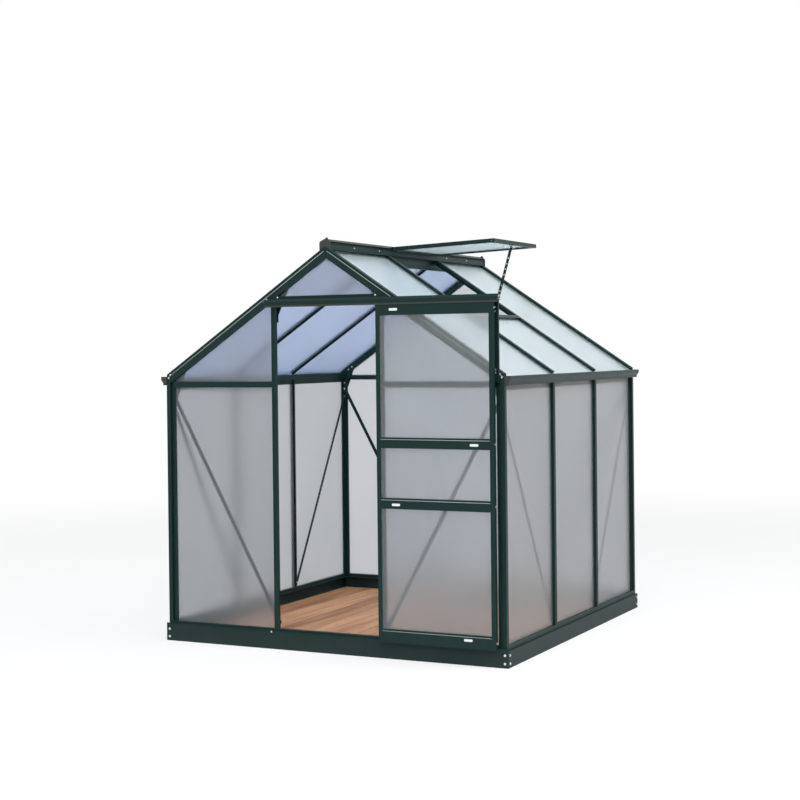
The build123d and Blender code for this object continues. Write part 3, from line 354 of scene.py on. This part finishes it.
bolt_zinc = zinc_plate("bolt_zinc", zinc_bright, zinc_roughness)
bolt_heads("base_front_bolts", [(x, base_front_y, z) for x in (-corner_bolt_x, corner_bolt_x)
                                for z in corner_bolt_heights],
           (0.0, -1.0, 0.0), bolt_across, bolt_zinc, "greenhouse")
for hand, name in ((1, "base_right_bolts"), (-1, "base_left_bolts")):
    bolt_heads(name, [(hand * base_side_x, y, z) for y in (-corner_bolt_y, corner_bolt_y)
                      for z in corner_bolt_heights],
               (hand, 0.0, 0.0), bolt_across, bolt_zinc, "greenhouse")
bolt_heads("groove_bolts", [(x, base_front_y, groove_bolt_height) for x in (-groove_bolt_x, groove_bolt_x)],
           (0.0, -1.0, 0.0), small_bolt_across, bolt_zinc, "greenhouse")


# Deck. Planed and oiled softwood boards lie side by side on the ground inside the base, from the doorway
# to the back. Their edges are eased, and a gap of a millimetre or so is left between them.
board_count = 20
board_gap = 0.0014
board_edge = 0.0015
wood_light = (0.52, 0.265, 0.13)
wood_dark = (0.23, 0.09, 0.037)
wood_gloss = 0.35
wood_dark_at = 0.32
wood_light_at = 0.66
wood_dullest = 0.62
wood_smoothest = 0.42
grain_along = 0.06
band_scale = 26.0
band_waver = 0.6
line_scale = 260.0
line_share = 0.35
line_depth = 0.0006
line_strength = 0.35
board_tone_spread = 0.22
board_grain_shift = 7.0


def carried(profile, starts, ends, up):
    """A closed profile (a, b) carried along straight lines: p = s + a (up x d) + b up, at both ends s.

    d is the line's direction. The profile runs anticlockwise seen from the line's far end.
    """
    starts = np.atleast_2d(np.asarray(starts, float))
    ends = np.atleast_2d(np.asarray(ends, float))
    up = np.broadcast_to(np.asarray(up, float), starts.shape)
    along = ends - starts
    along = along / np.linalg.norm(along, axis=1, keepdims=True)
    across = np.cross(up, along)
    section = profile[None, :, :1] * across[:, None] + profile[None, :, 1:] * up[:, None]
    return np.stack([starts[:, None] + section, ends[:, None] + section], 1)


def eased_rectangle(width, height, edge):
    """Outline of a rectangle that stands on its middle, with each corner cut off at 45 degrees."""
    half = width / 2
    return np.array([(-half + edge, 0.0), (half - edge, 0.0), (half, edge), (half, height - edge),
                     (half - edge, height), (-half + edge, height), (-half, height - edge), (-half, edge)])


deck_low, deck_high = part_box("floor_deck")
board_pitch = (deck_high.x - deck_low.x) / board_count
board_middles = deck_low.x + board_pitch * (np.arange(board_count) + 0.5)
board_feet = np.full(board_count, deck_low.z)
board_profile = eased_rectangle(board_pitch - board_gap, deck_high.z - deck_low.z, board_edge)
deck_points = carried(board_profile,
                      np.stack([board_middles, np.full(board_count, deck_low.y), board_feet], -1),
                      np.stack([board_middles, np.full(board_count, deck_high.y), board_feet], -1),
                      (0.0, 0.0, 1.0))

wood = bpy.data.materials.new("oiled_softwood")
wood.use_nodes = True
wood_tree = wood.node_tree
wood_shader = wood_tree.nodes["Principled BSDF"]
wood_shader.inputs["Specular IOR Level"].default_value = wood_gloss
wood_place = wood_tree.nodes.new("ShaderNodeTexCoord")
wood_axes = wood_tree.nodes.new("ShaderNodeSeparateXYZ")
wood_tree.links.new(wood_place.outputs["Object"], wood_axes.inputs["Vector"])
board_start = wood_tree.nodes.new("ShaderNodeMath")
board_start.operation = "SUBTRACT"
board_start.inputs[1].default_value = deck_low.x
wood_tree.links.new(wood_axes.outputs["X"], board_start.inputs[0])
board_share = wood_tree.nodes.new("ShaderNodeMath")
board_share.operation = "DIVIDE"
board_share.inputs[1].default_value = board_pitch
wood_tree.links.new(board_start.outputs["Value"], board_share.inputs[0])
board_number = wood_tree.nodes.new("ShaderNodeMath")
board_number.operation = "FLOOR"
wood_tree.links.new(board_share.outputs["Value"], board_number.inputs[0])
board_chance = wood_tree.nodes.new("ShaderNodeTexWhiteNoise")
board_chance.noise_dimensions = "1D"
wood_tree.links.new(board_number.outputs["Value"], board_chance.inputs["W"])
board_shift = wood_tree.nodes.new("ShaderNodeVectorMath")
board_shift.operation = "SCALE"
board_shift.inputs["Scale"].default_value = board_grain_shift
wood_tree.links.new(board_chance.outputs["Color"], board_shift.inputs[0])
grain_place = wood_tree.nodes.new("ShaderNodeVectorMath")
grain_place.operation = "ADD"
wood_tree.links.new(wood_place.outputs["Object"], grain_place.inputs[0])
wood_tree.links.new(board_shift.outputs["Vector"], grain_place.inputs[1])
grain_stretch = wood_tree.nodes.new("ShaderNodeMapping")
grain_stretch.inputs["Scale"].default_value = (1.0, grain_along, 1.0)
wood_tree.links.new(grain_place.outputs["Vector"], grain_stretch.inputs["Vector"])
grain_bands = wood_tree.nodes.new("ShaderNodeTexNoise")
grain_bands.inputs["Scale"].default_value = band_scale
grain_bands.inputs["Detail"].default_value = 3.0
grain_bands.inputs["Distortion"].default_value = band_waver
wood_tree.links.new(grain_stretch.outputs["Vector"], grain_bands.inputs["Vector"])
grain_lines = wood_tree.nodes.new("ShaderNodeTexNoise")
grain_lines.inputs["Scale"].default_value = line_scale
grain_lines.inputs["Detail"].default_value = 2.0
wood_tree.links.new(grain_stretch.outputs["Vector"], grain_lines.inputs["Vector"])
grain_sum = wood_tree.nodes.new("ShaderNodeMix")
grain_sum.inputs["Factor"].default_value = line_share
wood_tree.links.new(grain_bands.outputs["Fac"], grain_sum.inputs["A"])
wood_tree.links.new(grain_lines.outputs["Fac"], grain_sum.inputs["B"])
board_tone = wood_tree.nodes.new("ShaderNodeMath")
board_tone.operation = "MULTIPLY_ADD"
board_tone.inputs[1].default_value = board_tone_spread
board_tone.inputs[2].default_value = -board_tone_spread / 2
wood_tree.links.new(board_chance.outputs["Value"], board_tone.inputs[0])
grain_tone = wood_tree.nodes.new("ShaderNodeMath")
grain_tone.operation = "ADD"
wood_tree.links.new(grain_sum.outputs["Result"], grain_tone.inputs[0])
wood_tree.links.new(board_tone.outputs["Value"], grain_tone.inputs[1])
wood_colour = wood_tree.nodes.new("ShaderNodeValToRGB")
wood_colour.color_ramp.elements[0].position = wood_dark_at
wood_colour.color_ramp.elements[0].color = (*wood_dark, 1.0)
wood_colour.color_ramp.elements[1].position = wood_light_at
wood_colour.color_ramp.elements[1].color = (*wood_light, 1.0)
wood_tree.links.new(grain_tone.outputs["Value"], wood_colour.inputs["Fac"])
wood_tree.links.new(wood_colour.outputs["Color"], wood_shader.inputs["Base Color"])
wood_dull = wood_tree.nodes.new("ShaderNodeMapRange")
wood_dull.inputs["To Min"].default_value = wood_dullest
wood_dull.inputs["To Max"].default_value = wood_smoothest
wood_tree.links.new(grain_sum.outputs["Result"], wood_dull.inputs["Value"])
wood_tree.links.new(wood_dull.outputs["Result"], wood_shader.inputs["Roughness"])
wood_bump = wood_tree.nodes.new("ShaderNodeBump")
wood_bump.inputs["Strength"].default_value = line_strength
wood_bump.inputs["Distance"].default_value = line_depth
wood_tree.links.new(grain_lines.outputs["Fac"], wood_bump.inputs["Height"])
wood_tree.links.new(wood_bump.outputs["Normal"], wood_shader.inputs["Normal"])

deck_boards = closed_rings("deck_boards", deck_points, wood, "greenhouse")
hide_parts("floor_deck")


# Aluminium frame. Sills, posts, glazing bars, eave beams, rafters and ridge are extruded and powder-coated
# dark green. Their slots take the sheets, and plates and flat braces inside stiffen the corners.
frame_green = (0.0052, 0.022, 0.0205)
frame_dusty = (0.0125, 0.0335, 0.0305)
frame_dust_height = 0.5
frame_roughness = 0.4

frame_coat = powder_coat("frame_coat", frame_green, frame_dusty, frame_roughness, frame_dust_height)
finish_nodes(frame_coat, "front_sill", "back_sill", "left_sill", "right_sill", "front_left_post",
             "front_right_post", "back_left_post", "back_right_post", "door_jambs", "back_gable_posts",
             "left_wall_bars", "right_wall_bars", "left_eave_gutter", "right_eave_gutter",
             "front_eave_rails", "back_eave_rails", "door_lintel", "front_left_rafter",
             "front_right_rafter", "back_left_rafter", "back_right_rafter", "left_roof_bars",
             "right_roof_bars", "ridge", "gusset_plates", "wall_braces")


# Frame bolts. The same zinc-plated bolts join the frame: outside at the eaves, the lintel and the ridge,
# and inside through the plates and the ends of the braces.
roof_pitch = radians(33.7)
eave_height = 1.380
frame_half_width = 0.950
frame_half_depth = 0.960
lintel_bolt_x = 0.275
lintel_bolt_height = 1.7655
eave_bolt_places = ((0.926, 1.379), (0.936, 1.363))
rafter_bolt_places = ((0.340, 1.757), (0.354, 1.744))
ridge_bolt_x = 0.025
ridge_bolt_height = 2.014
ridge_bolt_ys = (-0.70, -0.42, 0.42, 0.70)
plate_depth = 0.030
gable_brace_depth = 0.032
rafter_bolt_inset = 0.0348
plate_rafter_xs = (0.245, 0.283, 0.865, 0.890)
plate_post_places = ((0.302, 1.655), (0.302, 1.690), (0.919, 1.255), (0.919, 1.295))
apex_bolt_xs = (-0.045, 0.045)
gable_brace_ends = ((0.9184, 1.261), (0.302, 0.130))
side_brace_ends = ((0.9284, 1.211), (0.312, 0.130))


def roof_height(x, inset=0.0):
    """Height at x of the roof's plane, or of a plane set in below it, measured square to the slope."""
    return eave_height + (frame_half_width - abs(x)) * tan(roof_pitch) - inset / cos(roof_pitch)


bolt_heads("front_face_bolts",
           [(hand * x, -frame_half_depth, z) for hand in (-1, 1)
            for x, z in ((lintel_bolt_x, lintel_bolt_height), *eave_bolt_places)]
           + [(-x, -frame_half_depth, z) for x, z in rafter_bolt_places],
           (0.0, -1.0, 0.0), small_bolt_across, bolt_zinc, "greenhouse")
bolt_heads("back_face_bolts",
           [(hand * x, frame_half_depth, z) for hand in (-1, 1)
            for x, z in ((lintel_bolt_x, lintel_bolt_height), *eave_bolt_places)],
           (0.0, 1.0, 0.0), small_bolt_across, bolt_zinc, "greenhouse")
for hand, name in ((-1, "ridge_left_bolts"), (1, "ridge_right_bolts")):
    bolt_heads(name, [(hand * ridge_bolt_x, y, ridge_bolt_height) for y in ridge_bolt_ys],
               (hand, 0.0, 0.0), small_bolt_across, bolt_zinc, "greenhouse")
plate_places = ([(hand * x, roof_height(x, rafter_bolt_inset)) for hand in (-1, 1) for x in plate_rafter_xs]
                + [(hand * x, z) for hand in (-1, 1) for x, z in plate_post_places]
                + [(x, roof_height(x, rafter_bolt_inset)) for x in apex_bolt_xs])
for hand, name in ((-1, "front_plate_bolts"), (1, "back_plate_bolts")):
    bolt_heads(name,
               [(x, hand * (frame_half_depth - plate_depth), z) for x, z in plate_places]
               + [(side * x, hand * (frame_half_depth - gable_brace_depth), z) for side in (-1, 1)
                  for x, z in gable_brace_ends],
               (0.0, -hand, 0.0), small_bolt_across, bolt_zinc, "greenhouse")
for hand, name in ((-1, "left_brace_bolts"), (1, "right_brace_bolts")):
    bolt_heads(name, [(hand * (frame_half_width - plate_depth), side * y, z) for side in (-1, 1)
                      for y, z in side_brace_ends],
               (-hand, 0.0, 0.0), small_bolt_across, bolt_zinc, "greenhouse")


# Painted highlights. Beads of light grey lie in the grooves of the gable rafters and of the roof bars, and
# run from the eaves to the ridge. They paint the highlight that the coat catches along these grooves.
highlight_bead_half_width = 0.0019
highlight_bead_rise = 0.0016
highlight_bead_points = 7
groove_depth = 0.001
rafter_groove_inset = 0.016
roof_bar_y = 0.312
highlight_bead_foot_x = 0.944
rafter_highlight_bead_top_x = 0.010
bar_highlight_bead_top_x = 0.031
highlight_bead_grey = (0.36, 0.4, 0.39)
highlight_bead_roughness = 0.55
highlight_bead_shade = 0.7
highlight_bead_patch_scale = 40.0

highlight_bead_turn = np.linspace(0.0, pi, highlight_bead_points)
highlight_bead_profile = np.stack([highlight_bead_half_width * np.cos(highlight_bead_turn), highlight_bead_rise * np.sin(highlight_bead_turn)], -1)

# The beads' light grey, with faint darker patches, is a painted highlight along the grooves.
painted_highlight_bead = bpy.data.materials.new("painted_highlight_bead")
painted_highlight_bead.use_nodes = True
highlight_bead_tree = painted_highlight_bead.node_tree
highlight_bead_shader = highlight_bead_tree.nodes["Principled BSDF"]
highlight_bead_shader.inputs["Roughness"].default_value = highlight_bead_roughness
highlight_bead_place = highlight_bead_tree.nodes.new("ShaderNodeTexCoord")
highlight_bead_noise = highlight_bead_tree.nodes.new("ShaderNodeTexNoise")
highlight_bead_noise.inputs["Scale"].default_value = highlight_bead_patch_scale
highlight_bead_noise.inputs["Detail"].default_value = 4.0
highlight_bead_tree.links.new(highlight_bead_place.outputs["Object"], highlight_bead_noise.inputs["Vector"])
highlight_bead_colour = highlight_bead_tree.nodes.new("ShaderNodeMix")
highlight_bead_colour.data_type = "RGBA"
highlight_bead_colour.inputs["A"].default_value = (*highlight_bead_grey, 1.0)
highlight_bead_colour.inputs["B"].default_value = (*[highlight_bead_shade * part for part in highlight_bead_grey], 1.0)
highlight_bead_tree.links.new(highlight_bead_noise.outputs["Fac"], highlight_bead_colour.inputs["Factor"])
highlight_bead_tree.links.new(highlight_bead_colour.outputs["Result"], highlight_bead_shader.inputs["Base Color"])

for hand, name in ((-1, "front_rafter_highlight_beads"), (1, "back_rafter_highlight_beads")):
    face_y = hand * (frame_half_depth - groove_depth)
    closed_rings(name, carried(
        highlight_bead_profile,
        [(side * highlight_bead_foot_x, face_y, roof_height(highlight_bead_foot_x, rafter_groove_inset)) for side in (-1, 1)],
        [(side * rafter_highlight_bead_top_x, face_y, roof_height(rafter_highlight_bead_top_x, rafter_groove_inset))
         for side in (-1, 1)],
        (0.0, hand, 0.0)), painted_highlight_bead, "greenhouse", smooth=True)
for side, name in ((-1, "left_bar_highlight_beads"), (1, "right_bar_highlight_beads")):
    highlight_bead_foot, highlight_bead_top = (
        [(side * x, y, roof_height(x, groove_depth)) for y in (-roof_bar_y, roof_bar_y)]
        for x in (highlight_bead_foot_x, bar_highlight_bead_top_x))
    closed_rings(name, carried(highlight_bead_profile, highlight_bead_foot, highlight_bead_top,
                               (side * sin(roof_pitch), 0.0, cos(roof_pitch))),
                 painted_highlight_bead, "greenhouse", smooth=True)


# Gutter and ridge caps. Moulded in black plastic and pushed over the open ends of the gutters and of the
# ridge, so that no water or wasps get in.
plastic_black = (0.012, 0.015, 0.014)
plastic_roughness = 0.5
plastic_grain = 0.3
flow_scale = 45.0
flow_gain = 1.5
flow_lift = 0.006
spark_scale = 1600.0
spark_depth = 0.0002


def moulded_plastic(name, colour, roughness, grain):
    """Injection-moulded plastic with an even, finely sparked surface and faint flow marks."""
    plastic = bpy.data.materials.new(name)
    plastic.use_nodes = True
    tree = plastic.node_tree
    shader = tree.nodes["Principled BSDF"]
    shader.inputs["Roughness"].default_value = roughness
    place = tree.nodes.new("ShaderNodeTexCoord")
    flow = tree.nodes.new("ShaderNodeTexNoise")
    flow.inputs["Scale"].default_value = flow_scale
    flow.inputs["Detail"].default_value = 3.0
    tree.links.new(place.outputs["Object"], flow.inputs["Vector"])
    shade = tree.nodes.new("ShaderNodeMix")
    shade.data_type = "RGBA"
    shade.inputs["A"].default_value = (*colour, 1.0)
    shade.inputs["B"].default_value = (*[flow_gain * part + flow_lift for part in colour], 1.0)
    tree.links.new(flow.outputs["Fac"], shade.inputs["Factor"])
    tree.links.new(shade.outputs["Result"], shader.inputs["Base Color"])
    spark = tree.nodes.new("ShaderNodeTexNoise")
    spark.inputs["Scale"].default_value = spark_scale
    tree.links.new(place.outputs["Object"], spark.inputs["Vector"])
    bump = tree.nodes.new("ShaderNodeBump")
    bump.inputs["Strength"].default_value = grain
    bump.inputs["Distance"].default_value = spark_depth
    tree.links.new(spark.outputs["Fac"], bump.inputs["Height"])
    tree.links.new(bump.outputs["Normal"], shader.inputs["Normal"])
    return plastic


black_plastic = moulded_plastic("black_plastic", plastic_black, plastic_roughness, plastic_grain)
finish_nodes(black_plastic, "end_caps")


# Wall sheets. Twin-wall polycarbonate 4 mm thick, milky, with upright ribs every 6 mm inside. What stands
# close behind a sheet shows through it, and what stands far behind is blurred away.
gable_tint = (0.66, 0.675, 0.70)
side_tint = (0.585, 0.6, 0.605)
rib_pitch = 0.006
rib_shade = 0.9
rib_from = 0.7
ripple_depth = 0.000012
ripple_strength = 0.5
bloom_scale = 2.2
bloom_spread = 0.05
sheet_share = 0.9
sheet_bend = 1.25
sheet_roughness = 0.3
sheet_smoother = 0.02
sheet_duller = 0.04
sheet_shadow = (0.66, 0.68, 0.74)


def twin_wall(name, tint, share, shadow, across):
    """Milky sheet, part clear and part white, that lets light through.

    The ribs are lines and ripples across one axis, as the cosine of 2 pi times the place over the pitch.
    """
    sheet = bpy.data.materials.new(name)
    sheet.use_nodes = True
    tree = sheet.node_tree
    shader = tree.nodes["Principled BSDF"]
    shader.inputs["Transmission Weight"].default_value = share
    shader.inputs["IOR"].default_value = sheet_bend
    place = tree.nodes.new("ShaderNodeTexCoord")
    axes = tree.nodes.new("ShaderNodeSeparateXYZ")
    tree.links.new(place.outputs["Object"], axes.inputs["Vector"])
    phase = tree.nodes.new("ShaderNodeMath")
    phase.operation = "MULTIPLY"
    phase.inputs[1].default_value = 2 * pi / rib_pitch
    tree.links.new(axes.outputs[across], phase.inputs[0])
    wave = tree.nodes.new("ShaderNodeMath")
    wave.operation = "COSINE"
    tree.links.new(phase.outputs["Value"], wave.inputs[0])
    line = tree.nodes.new("ShaderNodeMapRange")
    line.inputs["From Min"].default_value = rib_from
    line.inputs["From Max"].default_value = 1.0
    tree.links.new(wave.outputs["Value"], line.inputs["Value"])
    bloom = tree.nodes.new("ShaderNodeTexNoise")
    bloom.inputs["Scale"].default_value = bloom_scale
    bloom.inputs["Detail"].default_value = 4.0
    tree.links.new(place.outputs["Object"], bloom.inputs["Vector"])
    hazy = tree.nodes.new("ShaderNodeMix")
    hazy.data_type = "RGBA"
    hazy.inputs["A"].default_value = (*[(1.0 - bloom_spread) * part for part in tint], 1.0)
    hazy.inputs["B"].default_value = (*[min(1.0, (1.0 + bloom_spread) * part) for part in tint], 1.0)
    tree.links.new(bloom.outputs["Fac"], hazy.inputs["Factor"])
    ribbed = tree.nodes.new("ShaderNodeMix")
    ribbed.data_type = "RGBA"
    ribbed.blend_type = "MULTIPLY"
    ribbed.inputs["B"].default_value = (rib_shade, rib_shade, rib_shade, 1.0)
    tree.links.new(line.outputs["Result"], ribbed.inputs["Factor"])
    tree.links.new(hazy.outputs["Result"], ribbed.inputs["A"])
    tree.links.new(ribbed.outputs["Result"], shader.inputs["Base Color"])
    misty = tree.nodes.new("ShaderNodeMapRange")
    misty.inputs["To Min"].default_value = sheet_roughness - sheet_smoother
    misty.inputs["To Max"].default_value = sheet_roughness + sheet_duller
    tree.links.new(bloom.outputs["Fac"], misty.inputs["Value"])
    tree.links.new(misty.outputs["Result"], shader.inputs["Roughness"])
    ripple = tree.nodes.new("ShaderNodeBump")
    ripple.inputs["Strength"].default_value = ripple_strength
    ripple.inputs["Distance"].default_value = ripple_depth
    tree.links.new(wave.outputs["Value"], ripple.inputs["Height"])
    tree.links.new(ripple.outputs["Normal"], shader.inputs["Normal"])
    clear = tree.nodes.new("ShaderNodeBsdfTransparent")
    clear.inputs["Color"].default_value = (*shadow, 1.0)
    path = tree.nodes.new("ShaderNodeLightPath")
    mix = tree.nodes.new("ShaderNodeMixShader")
    tree.links.new(path.outputs["Is Shadow Ray"], mix.inputs["Fac"])
    tree.links.new(shader.outputs["BSDF"], mix.inputs[1])
    tree.links.new(clear.outputs["BSDF"], mix.inputs[2])
    tree.links.new(mix.outputs["Shader"], tree.nodes["Material Output"].inputs["Surface"])
    return sheet


gable_sheet = twin_wall("gable_sheet", gable_tint, sheet_share, sheet_shadow, "X")
side_sheet = twin_wall("side_sheet", side_tint, sheet_share, sheet_shadow, "Y")
finish_nodes(gable_sheet, "front_panels", "back_panels")
finish_nodes(side_sheet, "left_panels", "right_panels")


# Roof sheets. The same sheet, with light painted into its tint: the pale tint paints the lit right slope, and
# the deeper blue paints the sky light seen through the left slope. Its ribs run down the slope so that water
# inside them drains.
lit_right_roof_tint = (0.86, 0.96, 1.0)
skylit_left_roof_tint = (0.60, 0.72, 1.0)
roof_shadow = (0.78, 0.84, 0.93)

roof_sheet = twin_wall("roof_sheet", lit_right_roof_tint, sheet_share, roof_shadow, "Y")
left_roof_sheet = twin_wall("left_roof_sheet", skylit_left_roof_tint, sheet_share, roof_shadow, "Y")
finish_nodes(roof_sheet, "right_roof_panels")
finish_nodes(left_roof_sheet, "left_roof_panels")


# Roof vent. A frame of coated rails round its own roof sheet, hinged on the ridge and held open by a
# perforated flat stay that is pinned to small zinc-plated brackets. A coated sill closes its lower side.
finish_nodes(frame_coat, "vent_sill", "vent_cross_rails", "vent_side_rails", "vent_stay")
finish_nodes(roof_sheet, "vent_panel")
finish_nodes(bolt_zinc, "stay_brackets")


# Door track. A coated aluminium channel bolted across the gable, carried at its free end by an angle,
# with black plastic blocks inside its ends that stop the door. A thin black strip hangs from its front
# edge over the door: painted shade for the dark gap between the track and the door.
strut_bolt_x = 0.905
strut_bolt_heights = (1.385, 1.399, 1.673, 1.693)
strut_face_y = -0.962
track_end_x = 0.938
track_bolt_places = ((-0.992, 1.744), (-0.986, 1.731))
shade_strip_thickness = 0.0016
shade_strip_drop = 0.009
shade_strip_setback = 0.001
shade_strip_edge = 0.0004

finish_nodes(frame_coat, "door_rail", "door_rail_strut")
finish_nodes(black_plastic, "door_rail_stops")
bolt_heads("strut_bolts", [(strut_bolt_x, strut_face_y, z) for z in strut_bolt_heights],
           (0.0, -1.0, 0.0), small_bolt_across, bolt_zinc, "greenhouse")
bolt_heads("track_end_bolts", [(track_end_x, y, z) for y, z in track_bolt_places],
           (1.0, 0.0, 0.0), small_bolt_across, bolt_zinc, "greenhouse")
# The thin black strip under the track's front edge is painted shade for the gap over the door.
track_low, track_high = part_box("door_rail")
shade_strip_y = track_low.y + shade_strip_setback + shade_strip_thickness / 2
track_shade_strip = closed_rings("track_shade_strip", carried(
    eased_rectangle(shade_strip_thickness, shade_strip_drop, shade_strip_edge),
    (track_low.x, shade_strip_y, track_low.z - shade_strip_drop), (track_high.x, shade_strip_y, track_low.z - shade_strip_drop),
    (0.0, 0.0, 1.0)), black_plastic, "greenhouse")


# Sliding door. Coated stiles and cross rails round three paler wall sheets. It hangs from two zinc-plated
# hangers on nylon wheels in the track, and black plastic shoes guide its foot along the sill's groove.
nylon_white = (0.62, 0.61, 0.57)
nylon_roughness = 0.45
nylon_grain = 0.15
door_edge_bolt_heights = (0.118, 0.758, 1.050, 1.690)
door_edge_bolt_y = -0.992
door_tint = (0.85, 0.87, 0.88)
door_share = 0.93
rail_groove_heights = (0.141, 0.774, 1.066)

door_sheet = twin_wall("door_sheet", door_tint, door_share, sheet_shadow, "X")
wheel_nylon = moulded_plastic("wheel_nylon", nylon_white, nylon_roughness, nylon_grain)
finish_nodes(frame_coat, "door_stiles", "door_cross_rails")
finish_nodes(door_sheet, "door_panels")
finish_nodes(bolt_zinc, "door_hangers")
finish_nodes(wheel_nylon, "door_wheels")
finish_nodes(black_plastic, "door_guide_shoes")
stile_low, stile_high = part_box("door_stiles")
for x, outward, name in ((stile_low.x, -1.0, "door_left_bolts"), (stile_high.x, 1.0, "door_right_bolts")):
    bolt_heads(name, [(x, door_edge_bolt_y, z) for z in door_edge_bolt_heights],
               (outward, 0.0, 0.0), small_bolt_across, bolt_zinc, "sliding_door")
rail_low, rail_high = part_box("door_cross_rails")
# Light grey beads in the grooves of the door's cross rails are painted highlights along the rails' upper
# edges.
closed_rings("door_rail_highlight_beads", carried(
    highlight_bead_profile, [(rail_low.x, rail_low.y + groove_depth, z) for z in rail_groove_heights],
    [(rail_high.x, rail_low.y + groove_depth, z) for z in rail_groove_heights],
    (0.0, -1.0, 0.0)), painted_highlight_bead, "sliding_door", smooth=True)


# Blank stickers. Plain white paper left on the rails of the door, cut off at the corners and with nothing
# printed on it.
sticker_width = 0.044
sticker_height = 0.012
sticker_corner = 0.003
sticker_thickness = 0.0003
door_face_y = -1.003
paper_white = (0.82, 0.84, 0.83)
paper_shaded = (0.72, 0.75, 0.74)
paper_roughness = 0.6
fibre_scale = 500.0
sticker_places = ((0.392, 1.692), (0.810, 1.045), (0.397, 0.752), (0.770, 0.125))

sticker_paper = bpy.data.materials.new("sticker_paper")
sticker_paper.use_nodes = True
paper_tree = sticker_paper.node_tree
paper_shader = paper_tree.nodes["Principled BSDF"]
paper_shader.inputs["Roughness"].default_value = paper_roughness
paper_place = paper_tree.nodes.new("ShaderNodeTexCoord")
paper_fibre = paper_tree.nodes.new("ShaderNodeTexNoise")
paper_fibre.inputs["Scale"].default_value = fibre_scale
paper_fibre.inputs["Detail"].default_value = 4.0
paper_tree.links.new(paper_place.outputs["Object"], paper_fibre.inputs["Vector"])
paper_shade = paper_tree.nodes.new("ShaderNodeMix")
paper_shade.data_type = "RGBA"
paper_shade.inputs["A"].default_value = (*paper_white, 1.0)
paper_shade.inputs["B"].default_value = (*paper_shaded, 1.0)
paper_tree.links.new(paper_fibre.outputs["Fac"], paper_shade.inputs["Factor"])
paper_tree.links.new(paper_shade.outputs["Result"], paper_shader.inputs["Base Color"])

sticker_profile = eased_rectangle(sticker_width, sticker_height, sticker_corner)
sticker_starts = np.array([(x, door_face_y, z - sticker_height / 2) for x, z in sticker_places])
closed_rings("door_stickers", carried(sticker_profile, sticker_starts,
                                      sticker_starts - [[0.0, sticker_thickness, 0.0]], (0.0, 0.0, 1.0)),
             sticker_paper, "sliding_door")
